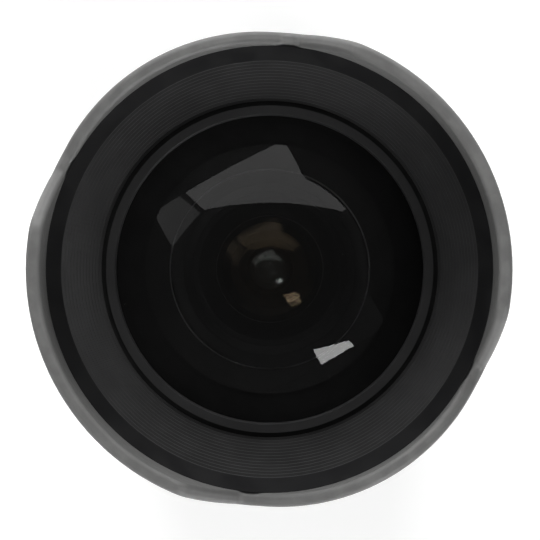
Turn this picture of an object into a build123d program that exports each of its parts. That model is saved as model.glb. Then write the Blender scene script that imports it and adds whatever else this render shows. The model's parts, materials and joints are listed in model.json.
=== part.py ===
from build123d import *
import os
from math import asin, atan2, copysign, cos, degrees, hypot, radians, sin, sqrt

# Wide-angle prime lens with a petal hood. Millimetres and degrees.
# The origin is the centre of the bayonet's reference face and +Z runs forward along the optical axis.
# Every piece is drawn at rest: focused at infinity, with the iris wide open.

os.makedirs("parts", exist_ok=True)

# Clearances
RUN = 0.08          # radial, between turned faces that move past each other
SLIDE = 0.05        # radial or sideways, between guided faces
GAP = 0.3           # between the ends of rings that turn separately
FACE_GAP = 0.15     # axial, each side of a trapped ring
SEAT = 0.05         # round a piece of glass in its seat
HOLE_CLEARANCE = 0.1

# Bayonet mount
FLANGE_MARGIN = 3.0     # from the circle of the mount's screws to the flange's edge
FLANGE_THICKNESS = 2.4
THROAT_RADIUS = 22.8
SPIGOT_WALL = 2.5
SPIGOT_DEPTH = 4.9
LUG_REACH = 1.6
LUG_THICKNESS = 1.6
LUG_SETBACK = 1.9
LUG_ARC = 56
LUG_COUNT = 3
LUG_START = 90
RELIEF_WIDTH = 2.1
RELIEF_DEPTH = 0.4
LOCK_PIN_HOLE_RADIUS = 1.4
LOCK_PIN_HOLE_DEPTH = 2.0
LOCK_PIN_ANGLE = 188
INDEX_DOT_RADIUS = 0.8
INDEX_DOT_DEPTH = 0.9

# Screws: shank radius, head radius and head height
SHANK = 0.8
HEAD = 1.35
HEAD_HEIGHT = 0.9
SMALL_SHANK = 0.6
SMALL_HEAD = 1.0
SMALL_HEAD_HEIGHT = 0.7
RECESS_WIDTH = 0.32     # arm of a cross recess
RECESS_DEPTH = 0.45
HEAD_SPAN = 1.2         # length of a recess's arm as a share of the head's radius

# Screw patterns: how many, where the first one is, and how deep their ends bite
MOUNT_SCREW_ROOM = 2.1      # outwards from the relief to the screws' circle
MOUNT_SCREW_COUNT = 4
MOUNT_SCREW_START = 45.0
MOUNT_SCREW_BITE = 5.0
BAFFLE_SCREW_OFFSET = 1.5   # outwards from the middle of the baffle's disc
BAFFLE_SCREW_BITE = 2.1
INDEX_SCREW_COUNT = 3
INDEX_SCREW_START = 50.0
INDEX_SCREW_BITE = 3.2
GUIDE_SCREW_COUNT = 3
GUIDE_SCREW_START = -30.0
GUIDE_SCREW_BITE = 2.4
CAM_SCREW_COUNT = 3
CAM_SCREW_CLEAR = 45.0      # degrees from an end of the stop slot to the nearest screw
HOOD_SCREW_COUNT = 4
HOOD_SCREW_BITE = 1.5
HOUSING_SCREW_COUNT = 4
HOUSING_SCREW_START = 45.0
HOUSING_SCREW_BITE = 3.0
MIDDLE_SCREW_INSET = 1.4    # inwards from the middle flange's edge
MIDDLE_SCREW_COUNT = 3
MIDDLE_SCREW_BITE = 1.6
IRIS_SCREW_INSET = 1.9      # inwards from the iris housing's bore
IRIS_SCREW_COUNT = 3
IRIS_SCREW_BITE = 1.5
BORE_END = 0.2              # left empty past the end of a screw

# Rear baffle
BAFFLE_WIDTH = 1.45     # as a share of the throat's radius, and so is the height
BAFFLE_HEIGHT = 0.98
BAFFLE_WALL = 1.4
BAFFLE_CORNER = 3.0
BAFFLE_DISC = 1.2
BAFFLE_DEPTH = 4.2

# Rear barrel and index barrel
REAR_WALL = 3.0
REAR_FLOOR = 3.0
INDEX_STEP = 3.0        # from the rear barrel's outside to the index barrel's
INDEX_LENGTH = 7.6
INDEX_LAP = 2.6         # length of index barrel that fits over the rear barrel
INDEX_FLOOR = 1.6
INDEX_WALL = 2.5

# Aperture ring, its key and the iris drive
APERTURE_LENGTH = 10.7
APERTURE_RIB_DEPTH = 0.5
APERTURE_RIB_COUNT = 72
APERTURE_RIB_LENGTH = 5.0
APERTURE_RIM = 0.9
APERTURE_TURN = 42.0
STOP_STEP = 7.0
KEY_WIDTH = 3.0
KEY_HEIGHT = 2.0
KEY_BITE = 0.9          # how far the key enters the ring at each of its ends
KEY_LIFT = 0.6          # height of the key above the rear barrel's floor
KEY_ANGLE = -111.0
WINDOW_MARGIN = 1.0     # degrees of window past each end of the travel
DRIVE_RING_THICKNESS = 2.6
DRIVE_RING_LIFT = 0.2
BAR_ANGLE = 60.0
BAR_WIDTH = 3.0
BAR_THICKNESS = 1.3
TRACK_WIDTH = 1.4
TRACK_DEPTH = 0.45
BALL_RADIUS = 0.75
BALL_STEP = 1.2         # outwards from the rear barrel's outside
BALL_ANGLE = 90.0
BALL_STANDOUT = 0.3
NOTCH_DEPTH = 0.2
SPRING_WIRE = 0.16
SPRING_TURNS = 5
SPRING_LENGTH = 2.4

# Guide barrel, cam sleeve and focus travel
GUIDE_WALL = 2.8
GUIDE_FLANGE_ROOM = 0.5 # radial, inside the rear barrel
GUIDE_FLANGE = 3.6
CAM_ROOM = 1.0          # radial, between the cam sleeve and the rear barrel
CAM_WALL = 1.95
CAM_FLANGE_ROOM = 0.5   # radial, inside the index barrel
CAM_FLANGE = 2.0
CAM_FLANGE_LIFT = 3.5   # between the index screws' heads and the cam sleeve's flange
FOCUS_TRAVEL = 2.4
FOCUS_TURN = 110.0
FOLLOWER_COUNT = 3
FOLLOWER_START = 90.0
ROLLER_RADIUS = 1.5
ROLLER_RECESS = 0.7
FOLLOWER_SHANK = 0.6
FOLLOWER_HEAD = 1.12
STOP_PIN_RADIUS = 0.9
STOP_PIN_ANGLE = 20.0

# Focus ring and grip
SCALE_STEP = 1.2        # from the index barrel's outside to the scale's
SCALE_LENGTH = 7.9
GRIP_LENGTH = 15.1
GRIP_STANDOUT = 0.8     # above the scale
GRIP_BED = 1.0          # below the scale
GRIP_RIB_COUNT = 56
GRIP_RIB_HEIGHT = 0.8
GRIP_RIB_SHARE = 0.62   # share of the pitch that a rib takes
FOCUS_LIP = 1.4
FOCUS_WALL = 2.4
FOCUS_WEB = 3.0

# Hood
HOOD_RADIUS = 43.5
HOOD_WALL = 2.5
HOOD_REAR_STEP = 0.2    # from the scale's radius to the hood's at its rear edge
HOOD_REAR_WALL = 1.2
HOOD_COLLAR = 2.5
HOOD_LIP = 1.5
HOOD_LIP_WIDTH = 2.4
HOOD_FLARE = 15.5       # height of the flare above the collar
HOOD_FLARE_SAG = 0.7
VALLEY_HEIGHT = 34.0    # from the hood's rear edge to the valleys between the petals
TALL_PETAL = 15.2       # above the valleys
TALL_TIP_ANGLE = 40.5   # half the arc of a tall petal's tip
TALL_FOOT_ANGLE = 53.5  # half the arc of a tall petal at the valleys
SHORT_PETAL = 8.2
SHORT_FOOT_ANGLE = 31.0  # half the arc of a short petal at the valleys
VALLEY_ROUND = 1.8
PETAL_CORNER = 4.0
PETAL_OUTER_EDGE = 0.9  # rounding of the petals' edges
PETAL_INNER_EDGE = 0.9

# Hood liner
LINER_STEP = 2.6        # from the hood's bore in to the smooth band's lower edge
LINER_BAND = 3.0        # depth of the smooth band
LINER_STEPS = 13
LINER_STEP_DROP = 0.25  # how far each tread falls outwards, so that it traps light
LINER_THICKNESS = 2.4
LINER_SKIRT = 4.0       # how far the liner lies against the hood's bore
LINER_FOOT = 4.0
LINER_FOOT_WALL = 1.5

# Front housing
FRONT_FLANGE = 2.5
FRONT_SLEEVE_WALL = 2.5
SHELF_HEIGHT = 15.7     # from the housing's rear face to the front element's seat
SHELF = 2.2
RIM_WALL = 1.2
FRONT_RING_STEP = 0.6   # outwards from the front element's edge
FRONT_RING_LAP = 1.25   # inwards over the front element
FRONT_RING_HEIGHT = 1.8
FRONT_RING_STANDOUT = 1.3
DARK_GAP = 0.9          # from the retaining ring to the liner
GROUP_RING_WIDTH = 3.0
GROUP_RING_RECESS = 0.2
ACCESS_HOLE = 1.3

# Focus cell
CELL_WALL = 1.75
CELL_LENGTH = 33.0
CELL_WEB = 2.0
CELL_WEB_HEIGHT = 24.0  # from the cell's rear end to the web
FOLLOWER_HEIGHT = 29.0  # from the cell's rear end to the rollers
MIDDLE_FLANGE_ROOM = 0.8    # radial, inside the focus cell
MIDDLE_FLANGE = 1.8
MIDDLE_WALL = 3.2       # outside the middle group's glass
MIDDLE_NOSE_WALL = 1.6
MIDDLE_LENGTH = 8.0

# Iris
IRIS_ROOM = 2.2         # radial, inside the focus cell, for the drive bar
IRIS_WALL = 0.7
IRIS_FLOOR = 2.4
IRIS_OPENING = 9.0
IRIS_HOUSING_LENGTH = 7.0
BLADE_COUNT = 6
BLADE_THICKNESS = 0.12
BLADE_PITCH = 0.2
BLADE_WIDTH = 4.6
BLADE_INSET = 0.7       # from the pivots' circle in to the blades' outer edge
BLADE_SPAN = 115.0
BLADE_TAIL = 6.0
BLADE_BOSS = 0.95
BLADE_TURN = 32.5
PIVOT_INSET = 2.9       # inwards from the iris housing's bore
DRIVE_PIN_ANGLE = -11.0
PIN_RADIUS = 0.4
PIN_SINK = 0.8          # how far a pivot pin enters the housing's floor
BLADE_HEADROOM = 0.48
ACTUATOR_THICKNESS = 1.0
ACTUATOR_INSET = 1.2    # from the pivots' circle in to the actuator's bore
ACTUATOR_GAP = 0.2
FORK_PRONG = 1.2

# Rear group
REAR_GROUP_RADIUS = 13.5
REAR_GROUP_FLANGE = 2.0
REAR_GROUP_RIM_WALL = 0.9

# Glass: curvatures are positive where a face bulges forward.
# Front group, with apex heights above the front element's seat
FRONT_GLASS_RADIUS = 30.0
FRONT_ROUNDNESS = 1.55      # the front curve as a share of the glass's radius
FRONT_APEX = 15.2
FRONT_EDGE = 13.0           # width of the flat rim round the hollow
HOLLOW_ROUNDNESS = 1.07     # the hollow's curve as a share of its radius
SECOND_CURVE = 36.0
SECOND_APEX = 3.8
SECOND_LIP = 1.4            # width of the lip ahead of the second element
SECOND_HOLLOW_CURVE = 13.0
SECOND_HOLLOW_RADIUS = 12.0
SECOND_RIM = -6.4
THIRD_CURVE = 60.0
THIRD_APEX = -7.2
THIRD_HOLLOW_CURVE = 15.0
THIRD_HOLLOW_RADIUS = 10.5
THIRD_RIM = -13.3
SPACER_WIDTH = 1.6

# Middle group, with apex heights above the web's rear face
MIDDLE_GLASS_INSET = 4.6    # from the iris screws' circle in to the glass
MIDDLE_LIP = 0.6
MIDDLE_LIP_WIDTH = 1.5
FOURTH_APEX, FOURTH_CURVE = 10.4, 33.0
CEMENT_APEX, CEMENT_CURVE = 4.4, -36.0
FIFTH_REAR, FIFTH_REAR_CURVE = 3.6, 60.0
SIXTH_APEX, SIXTH_CURVE = 3.0, 50.0
SIXTH_REAR_CURVE = 500.0
MIDDLE_SPACER_WIDTH = 1.0
MIDDLE_RING_WIDTH = 1.4

# Rear group, with apex depths behind the iris housing's rear end
REAR_GLASS_RADIUS = 10.0
LAST_GLASS_RADIUS = 11.5
SEVENTH_APEX, SEVENTH_CURVE = 0.2, 35.0
REAR_CEMENT_APEX, REAR_CEMENT_CURVE = 5.6, -20.0
EIGHTH_REAR, EIGHTH_REAR_CURVE = 7.2, 40.0
NINTH_APEX, NINTH_CURVE = 8.4, 60.0
NINTH_REAR, NINTH_REAR_CURVE = 12.8, -30.0
TENTH_APEX, TENTH_CURVE = 13.0, -28.0
TENTH_REAR, TENTH_REAR_CURVE = 15.8, -24.0
REAR_LIP_BORE = 9.3
REAR_SPACER_BORE = 9.2
REAR_RING_BORE = 10.2
GLASS_TOUCH = 0.02      # the film of air left between a ring and the glass that it holds


def sag(curve, radius):
    """How far a spherical face falls back from its apex at a radius."""
    return curve - copysign(sqrt(curve * curve - radius * radius), curve)


def turned(*corners):
    """A closed outline of (radius, height) corners, ready to be revolved."""
    with BuildSketch(Plane.XZ) as outline:
        with BuildLine():
            Polyline(*corners, close=True)
        make_face()
    return outline.sketch


def band(inner, outer, low, high):
    """The section of a plain ring."""
    return turned((inner, low), (outer, low), (outer, high), (inner, high))


def lens_section(front, front_curve, rear, rear_curve, radius, hollow=None):
    """The section of a lens element. A hollow ends the rear curve short of the rim."""
    edge = hollow if hollow else radius
    rear_rim = rear - sag(rear_curve, edge)
    half, half_edge = radius / 2, edge / 2
    with BuildSketch(Plane.XZ) as outline:
        with BuildLine():
            ThreePointArc((0, front), (half, front - sag(front_curve, half)),
                          (radius, front - sag(front_curve, radius)))
            Line((radius, front - sag(front_curve, radius)), (radius, rear_rim))
            if edge < radius:
                Line((radius, rear_rim), (edge, rear_rim))
            ThreePointArc((edge, rear_rim), (half_edge, rear - sag(rear_curve, half_edge)), (0, rear))
            Line((0, rear), (0, front))
        make_face()
    return outline.sketch


def sector(inner, outer, start, arc):
    """A piece of a flat ring, from a start angle through an arc in degrees."""
    with BuildSketch() as piece:
        with BuildLine():
            CenterArc((0, 0), outer, start, arc)
            CenterArc((0, 0), inner, start, arc)
            for angle in (start, start + arc):
                way = Vector(cos(radians(angle)), sin(radians(angle)))
                Line(way * inner, way * outer)
        make_face()
    return piece.sketch


def half_angle(width, radius):
    """Half the angle that a width takes at a radius, in degrees."""
    return degrees(asin(width / 2 / radius))


def screw(seat, length, shank, head, head_height, facing=1, sunk=False):
    """A screw along Z with its head's seat, or a sunk head's top, at a height."""
    rise = facing * head_height
    if sunk:
        corners = ((0, seat), (head, seat), (shank, seat - rise), (shank, seat - facing * length),
                   (0, seat - facing * length))
        top = seat
    else:
        corners = ((0, seat + rise), (head, seat + rise), (head, seat), (shank, seat),
                   (shank, seat - facing * length), (0, seat - facing * length))
        top = seat + rise
    with BuildPart() as fastener:
        revolve(turned(*corners), axis=Axis.Z)
        with Locations((0, 0, top)):
            Box(RECESS_WIDTH, HEAD_SPAN * head, 2 * RECESS_DEPTH, mode=Mode.SUBTRACT)
            Box(HEAD_SPAN * head, RECESS_WIDTH, 2 * RECESS_DEPTH, mode=Mode.SUBTRACT)
    return fastener.part


# Heights that several pieces share
aperture_rear = FLANGE_THICKNESS + FACE_GAP
aperture_front = aperture_rear + APERTURE_LENGTH
index_rear = aperture_front + FACE_GAP
index_front = index_rear + INDEX_LENGTH
rear_barrel_top = index_rear + INDEX_LAP
rear_floor_top = FLANGE_THICKNESS + REAR_FLOOR
guide_flange_top = rear_floor_top + GUIDE_FLANGE
focus_rear = index_front + GAP
grip_rear = focus_rear + SCALE_LENGTH
grip_front = grip_rear + GRIP_LENGTH
focus_front = grip_front + FOCUS_LIP
hood_rear = focus_front + GAP
front_flange_top = hood_rear + FRONT_FLANGE
valley = hood_rear + VALLEY_HEIGHT
cam_rear = guide_flange_top + FACE_GAP
cam_front = hood_rear - FACE_GAP
cell_rear = guide_flange_top
cell_front = cell_rear + CELL_LENGTH
web_rear = cell_rear + CELL_WEB_HEIGHT
web_front = web_rear + CELL_WEB
follower = cell_rear + FOLLOWER_HEIGHT

# Radii that several pieces share, from the mount outwards
spigot_radius = THROAT_RADIUS + SPIGOT_WALL
relief_radius = spigot_radius + RELIEF_WIDTH
mount_screw_circle = relief_radius + MOUNT_SCREW_ROOM
flange_radius = mount_screw_circle + FLANGE_MARGIN
rear_barrel_radius = mount_screw_circle + REAR_WALL / 2
rear_bore = mount_screw_circle - REAR_WALL / 2
aperture_bore = rear_barrel_radius + RUN
ball_circle = rear_barrel_radius + BALL_STEP
index_radius = rear_barrel_radius + INDEX_STEP
index_bore = index_radius - INDEX_WALL
aperture_radius = index_radius
scale_radius = index_radius + SCALE_STEP
grip_radius = scale_radius + GRIP_STANDOUT
grip_bed_radius = scale_radius - GRIP_BED
focus_bore = scale_radius - FOCUS_WALL
hood_rear_radius = scale_radius + HOOD_REAR_STEP
housing_flange_radius = hood_rear_radius - HOOD_REAR_WALL
hood_bore = HOOD_RADIUS - HOOD_WALL
liner_rim = hood_bore - LINER_STEP

# From the rear barrel inwards
guide_flange_radius = rear_bore - GUIDE_FLANGE_ROOM
cam_radius = rear_bore - CAM_ROOM
cam_bore = cam_radius - CAM_WALL
cam_flange_radius = index_bore - CAM_FLANGE_ROOM
stop_pin_circle = (cam_radius + cam_flange_radius) / 2
guide_radius = cam_bore - SLIDE
guide_bore = guide_radius - GUIDE_WALL
cell_radius = guide_bore - SLIDE
cell_bore = cell_radius - CELL_WALL
drive_ring_radius = guide_bore - RUN
middle_flange_radius = cell_bore - MIDDLE_FLANGE_ROOM
middle_screw_circle = middle_flange_radius - MIDDLE_SCREW_INSET
iris_housing_radius = cell_bore - IRIS_ROOM
iris_bore = iris_housing_radius - IRIS_WALL
iris_screw_circle = iris_bore - IRIS_SCREW_INSET
pivot_circle = iris_bore - PIVOT_INSET
bar_inner = iris_housing_radius + SLIDE + GAP
fork_radius = bar_inner + BAR_THICKNESS + FACE_GAP

# Round the glass
front_sleeve_radius = guide_bore + GAP
second_radius = front_sleeve_radius - FRONT_SLEEVE_WALL
front_curve = FRONT_ROUNDNESS * FRONT_GLASS_RADIUS
front_hollow_radius = FRONT_GLASS_RADIUS - FRONT_EDGE
front_hollow_curve = HOLLOW_ROUNDNESS * front_hollow_radius
front_ring_radius = FRONT_GLASS_RADIUS + FRONT_RING_STEP
front_ring_bore = FRONT_GLASS_RADIUS - FRONT_RING_LAP
front_rim_radius = front_ring_radius + RIM_WALL
middle_glass_radius = iris_screw_circle - MIDDLE_GLASS_INSET
middle_radius = middle_glass_radius + MIDDLE_WALL
middle_nose_radius = middle_glass_radius + MIDDLE_NOSE_WALL
middle_lip_bore = middle_glass_radius - MIDDLE_LIP_WIDTH

# Rear end: the bayonet with its lugs, screw holes and lock pin hole
with BuildPart() as bayonet_mount:
    revolve(turned((THROAT_RADIUS, -SPIGOT_DEPTH), (spigot_radius, -SPIGOT_DEPTH),
                   (spigot_radius, RELIEF_DEPTH), (relief_radius, RELIEF_DEPTH), (relief_radius, 0),
                   (flange_radius, 0), (flange_radius, FLANGE_THICKNESS),
                   (THROAT_RADIUS, FLANGE_THICKNESS)), axis=Axis.Z)
    with BuildSketch(Plane.XY.offset(-LUG_SETBACK - LUG_THICKNESS)):
        for lug in range(LUG_COUNT):
            add(sector(spigot_radius - SPIGOT_WALL / 2, spigot_radius + LUG_REACH,
                       LUG_START + lug * 360 / LUG_COUNT - LUG_ARC / 2, LUG_ARC))
    extrude(amount=LUG_THICKNESS)
    with Locations(Location((0, 0, 0), (180, 0, 0))):
        with PolarLocations(mount_screw_circle, MOUNT_SCREW_COUNT, start_angle=MOUNT_SCREW_START):
            CounterSinkHole(SHANK, HEAD, depth=FLANGE_THICKNESS, counter_sink_angle=90)
    with PolarLocations(mount_screw_circle, 1, start_angle=LOCK_PIN_ANGLE):
        Cylinder(LOCK_PIN_HOLE_RADIUS, LOCK_PIN_HOLE_DEPTH, mode=Mode.SUBTRACT,
                 align=(Align.CENTER, Align.CENTER, Align.MIN))
    with Locations(Location((flange_radius, 0, FLANGE_THICKNESS / 2), (0, 90, 0))):
        Cylinder(INDEX_DOT_RADIUS, 2 * INDEX_DOT_DEPTH, mode=Mode.SUBTRACT)

bayonet_mount.part.label = "bayonet_mount"
export_step(bayonet_mount.part, "parts/bayonet_mount.step")

# The dot that is lined up with the camera's own when the lens goes on
with BuildPart() as mount_index:
    with Locations(Location((flange_radius - INDEX_DOT_DEPTH, 0, FLANGE_THICKNESS / 2), (0, 90, 0))):
        Cylinder(INDEX_DOT_RADIUS, INDEX_DOT_DEPTH, align=(Align.CENTER, Align.CENTER, Align.MIN))
    Cylinder(flange_radius, 2 * FLANGE_THICKNESS, mode=Mode.INTERSECT)

mount_index.part.label = "mount_index"
export_step(mount_index.part, "parts/mount_index.step")

mount_screw = screw(0, FLANGE_THICKNESS + MOUNT_SCREW_BITE, SHANK, HEAD, HEAD - SHANK, facing=-1, sunk=True)
with BuildPart() as mount_screws:
    with PolarLocations(mount_screw_circle, MOUNT_SCREW_COUNT, start_angle=MOUNT_SCREW_START):
        add(mount_screw)

mount_screws.part.label = "mount_screws"
export_step(mount_screws.part, "parts/mount_screws.step")

# Rear baffle: a disc in the bayonet's throat with a frame round the picture's light path
baffle_rear = FLANGE_THICKNESS - BAFFLE_DISC
baffle_width = BAFFLE_WIDTH * THROAT_RADIUS
baffle_height = BAFFLE_HEIGHT * THROAT_RADIUS
baffle_screw_y = (THROAT_RADIUS + baffle_height / 2 + BAFFLE_WALL) / 2 + BAFFLE_SCREW_OFFSET
with BuildPart() as rear_baffle:
    revolve(band(0, THROAT_RADIUS, baffle_rear, FLANGE_THICKNESS), axis=Axis.Z)
    with BuildSketch(Plane.XY.offset(-BAFFLE_DEPTH)):
        RectangleRounded(baffle_width + 2 * BAFFLE_WALL, baffle_height + 2 * BAFFLE_WALL,
                         BAFFLE_CORNER + BAFFLE_WALL)
    extrude(amount=baffle_rear + BAFFLE_DEPTH)
    with BuildSketch(Plane.XY.offset(-BAFFLE_DEPTH)):
        RectangleRounded(baffle_width, baffle_height, BAFFLE_CORNER)
    extrude(amount=BAFFLE_DEPTH + FLANGE_THICKNESS, mode=Mode.SUBTRACT)
    with Locations((0, baffle_screw_y), (0, -baffle_screw_y)):
        Cylinder(SMALL_SHANK, 2 * FLANGE_THICKNESS, mode=Mode.SUBTRACT)

rear_baffle.part.label = "rear_baffle"
export_step(rear_baffle.part, "parts/rear_baffle.step")

baffle_screw_length = BAFFLE_DISC + BAFFLE_SCREW_BITE
baffle_screw = screw(baffle_rear, baffle_screw_length, SMALL_SHANK, SMALL_HEAD, SMALL_HEAD_HEIGHT,
                     facing=-1)
with BuildPart() as baffle_screws:
    with Locations((0, baffle_screw_y), (0, -baffle_screw_y)):
        add(baffle_screw)

baffle_screws.part.label = "baffle_screws"
export_step(baffle_screws.part, "parts/baffle_screws.step")

# Rear barrel: carries the bayonet, the guide barrel and the index barrel
key_rear = rear_floor_top + KEY_LIFT
key_front = key_rear + KEY_HEIGHT
window_start = KEY_ANGLE - half_angle(KEY_WIDTH, guide_bore) - WINDOW_MARGIN
window_arc = APERTURE_TURN + 2 * (half_angle(KEY_WIDTH, guide_bore) + WINDOW_MARGIN)
guide_screw_circle = guide_radius
rear_floor_bore = baffle_screw_y - 2 * SMALL_SHANK
with BuildPart() as rear_barrel:
    revolve(turned((rear_floor_bore, FLANGE_THICKNESS), (rear_barrel_radius, FLANGE_THICKNESS),
                   (rear_barrel_radius, rear_barrel_top), (rear_bore, rear_barrel_top),
                   (rear_bore, rear_floor_top), (rear_floor_bore, rear_floor_top)), axis=Axis.Z)
    with BuildSketch(Plane.XY.offset(key_rear - FACE_GAP)):
        add(sector(rear_bore - 1, rear_barrel_radius + 1, window_start, window_arc))
    extrude(amount=KEY_HEIGHT + 2 * FACE_GAP, mode=Mode.SUBTRACT)
    with PolarLocations(mount_screw_circle, MOUNT_SCREW_COUNT, start_angle=MOUNT_SCREW_START):
        with Locations((0, 0, FLANGE_THICKNESS)):
            Cylinder(SHANK, MOUNT_SCREW_BITE + BORE_END, mode=Mode.SUBTRACT,
                     align=(Align.CENTER, Align.CENTER, Align.MIN))
    with PolarLocations(mount_screw_circle, INDEX_SCREW_COUNT, start_angle=INDEX_SCREW_START):
        with Locations((0, 0, rear_barrel_top)):
            Cylinder(SHANK, INDEX_SCREW_BITE + BORE_END, mode=Mode.SUBTRACT,
                     align=(Align.CENTER, Align.CENTER, Align.MAX))
    with Locations(Location((0, 0, FLANGE_THICKNESS), (180, 0, 0))):
        with PolarLocations(guide_screw_circle, GUIDE_SCREW_COUNT, start_angle=-GUIDE_SCREW_START):
            CounterSinkHole(SHANK, HEAD, depth=REAR_FLOOR, counter_sink_angle=90)
    with Locations((0, baffle_screw_y), (0, -baffle_screw_y)):
        Cylinder(SMALL_SHANK, 2 * (baffle_rear + baffle_screw_length), mode=Mode.SUBTRACT)

rear_barrel.part.label = "rear_barrel"
export_step(rear_barrel.part, "parts/rear_barrel.step")

# Index barrel: carries the index and depth-of-field marks, the detent and the focus stop
index_floor_bore = cam_radius + HOLE_CLEARANCE + GAP
ball_height = index_rear + BALL_RADIUS - BALL_STANDOUT
spring_rear = ball_height + BALL_RADIUS
spring_front = spring_rear + SPRING_LENGTH
with BuildPart() as index_barrel:
    revolve(turned((rear_barrel_radius, index_rear), (index_radius, index_rear),
                   (index_radius, index_front), (index_bore, index_front),
                   (index_bore, rear_barrel_top + INDEX_FLOOR),
                   (index_floor_bore, rear_barrel_top + INDEX_FLOOR),
                   (index_floor_bore, rear_barrel_top), (rear_barrel_radius, rear_barrel_top)),
            axis=Axis.Z)
    with PolarLocations(ball_circle, 1, start_angle=BALL_ANGLE):
        with Locations((0, 0, index_rear)):
            Cylinder(BALL_RADIUS + SLIDE, spring_front - index_rear, mode=Mode.SUBTRACT,
                     align=(Align.CENTER, Align.CENTER, Align.MIN))
    with PolarLocations(mount_screw_circle, INDEX_SCREW_COUNT, start_angle=INDEX_SCREW_START):
        with Locations((0, 0, rear_barrel_top)):
            Cylinder(SHANK, INDEX_FLOOR, mode=Mode.SUBTRACT,
                     align=(Align.CENTER, Align.CENTER, Align.MIN))
    with PolarLocations(stop_pin_circle, 1, start_angle=STOP_PIN_ANGLE):
        with Locations((0, 0, rear_barrel_top)):
            Cylinder(STOP_PIN_RADIUS, INDEX_FLOOR, mode=Mode.SUBTRACT,
                     align=(Align.CENTER, Align.CENTER, Align.MIN))
    chamfer(index_barrel.edges().filter_by(GeomType.CIRCLE).filter_by(
        lambda edge: abs(edge.radius - index_radius) < 0.01), FACE_GAP * 2)

index_barrel.part.label = "index_barrel"
export_step(index_barrel.part, "parts/index_barrel.step")

index_screw = screw(rear_barrel_top + INDEX_FLOOR, INDEX_FLOOR + INDEX_SCREW_BITE, SHANK, HEAD, HEAD_HEIGHT)
with BuildPart() as index_screws:
    with PolarLocations(mount_screw_circle, INDEX_SCREW_COUNT, start_angle=INDEX_SCREW_START):
        add(index_screw)

index_screws.part.label = "index_screws"
export_step(index_screws.part, "parts/index_screws.step")

# The focus stop: a pin in the index barrel that the cam sleeve's arc slot runs along
cam_flange_rear = rear_barrel_top + INDEX_FLOOR + HEAD_HEIGHT + CAM_FLANGE_LIFT
stop_pin_top = cam_flange_rear + CAM_FLANGE - GAP
with BuildPart() as focus_stop_pin:
    with PolarLocations(stop_pin_circle, 1, start_angle=STOP_PIN_ANGLE):
        with Locations((0, 0, rear_barrel_top)):
            Cylinder(STOP_PIN_RADIUS, stop_pin_top - rear_barrel_top,
                     align=(Align.CENTER, Align.CENTER, Align.MIN))
    chamfer(focus_stop_pin.faces().sort_by(Axis.Z)[-1].edges(), STOP_PIN_RADIUS / 4)

focus_stop_pin.part.label = "focus_stop_pin"
export_step(focus_stop_pin.part, "parts/focus_stop_pin.step")

# The detent: a ball in the index barrel, and the spring behind it
with BuildPart() as detent_ball:
    with PolarLocations(ball_circle, 1, start_angle=BALL_ANGLE):
        with Locations((0, 0, ball_height)):
            Sphere(BALL_RADIUS)

detent_ball.part.label = "detent_ball"
export_step(detent_ball.part, "parts/detent_ball.step")

spring_radius = BALL_RADIUS - 2 * SPRING_WIRE
spring_rise = SPRING_LENGTH - 2 * SPRING_WIRE
spring_centre = Vector(ball_circle * cos(radians(BALL_ANGLE)), ball_circle * sin(radians(BALL_ANGLE)),
                       spring_rear + SPRING_WIRE)
with BuildPart() as detent_spring:
    with BuildLine():
        coil = Helix(spring_rise / SPRING_TURNS, spring_rise, spring_radius, center=spring_centre)
    with BuildSketch(Plane(origin=coil @ 0, z_dir=coil % 0)):
        Circle(SPRING_WIRE)
    sweep()

detent_spring.part.label = "detent_spring"
export_step(detent_spring.part, "parts/detent_spring.step")

# Aperture ring: ribbed at the rear, with the ball's track and its stop notches in the front face
rib_pitch = 360 / APERTURE_RIB_COUNT
rib_rear = aperture_rear + APERTURE_RIM
with BuildPart() as aperture_ring:
    revolve(band(aperture_bore, aperture_radius, aperture_rear, aperture_front), axis=Axis.Z)
    chamfer(aperture_ring.edges().filter_by(GeomType.CIRCLE).filter_by(
        lambda edge: abs(edge.radius - aperture_radius) < 0.01), FACE_GAP * 2)
    with BuildSketch(Plane.XY.offset(rib_rear)):
        for rib in range(APERTURE_RIB_COUNT):
            add(sector(aperture_radius - APERTURE_RIB_DEPTH, aperture_radius + 1,
                       rib * rib_pitch, rib_pitch / 2))
    extrude(amount=APERTURE_RIB_LENGTH, mode=Mode.SUBTRACT)
    revolve(band(ball_circle - TRACK_WIDTH / 2, ball_circle + TRACK_WIDTH / 2,
                 aperture_front - TRACK_DEPTH, aperture_front), axis=Axis.Z, mode=Mode.SUBTRACT)
    for stop in range(int(APERTURE_TURN / STOP_STEP) + 1):
        with PolarLocations(ball_circle, 1, start_angle=BALL_ANGLE - stop * STOP_STEP):
            with Locations((0, 0, aperture_front - TRACK_DEPTH - NOTCH_DEPTH + TRACK_WIDTH / 2)):
                Sphere(TRACK_WIDTH / 2, mode=Mode.SUBTRACT)
    with PolarLocations(aperture_bore, 1, start_angle=KEY_ANGLE):
        with Locations((0, 0, key_rear)):
            Box(2 * KEY_BITE, KEY_WIDTH, KEY_HEIGHT, mode=Mode.SUBTRACT,
                align=(Align.CENTER, Align.CENTER, Align.MIN))

aperture_ring.part.label = "aperture_ring"
export_step(aperture_ring.part, "parts/aperture_ring.step")

# The key joins the aperture ring, through the barrels' windows, to the iris drive ring
key_inner = drive_ring_radius - KEY_BITE
with BuildPart() as aperture_key:
    with PolarLocations((key_inner + aperture_bore + KEY_BITE) / 2, 1, start_angle=KEY_ANGLE):
        with Locations((0, 0, key_rear)):
            Box(aperture_bore + KEY_BITE - key_inner, KEY_WIDTH, KEY_HEIGHT,
                align=(Align.CENTER, Align.CENTER, Align.MIN))

aperture_key.part.label = "aperture_key"
export_step(aperture_key.part, "parts/aperture_key.step")

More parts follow.
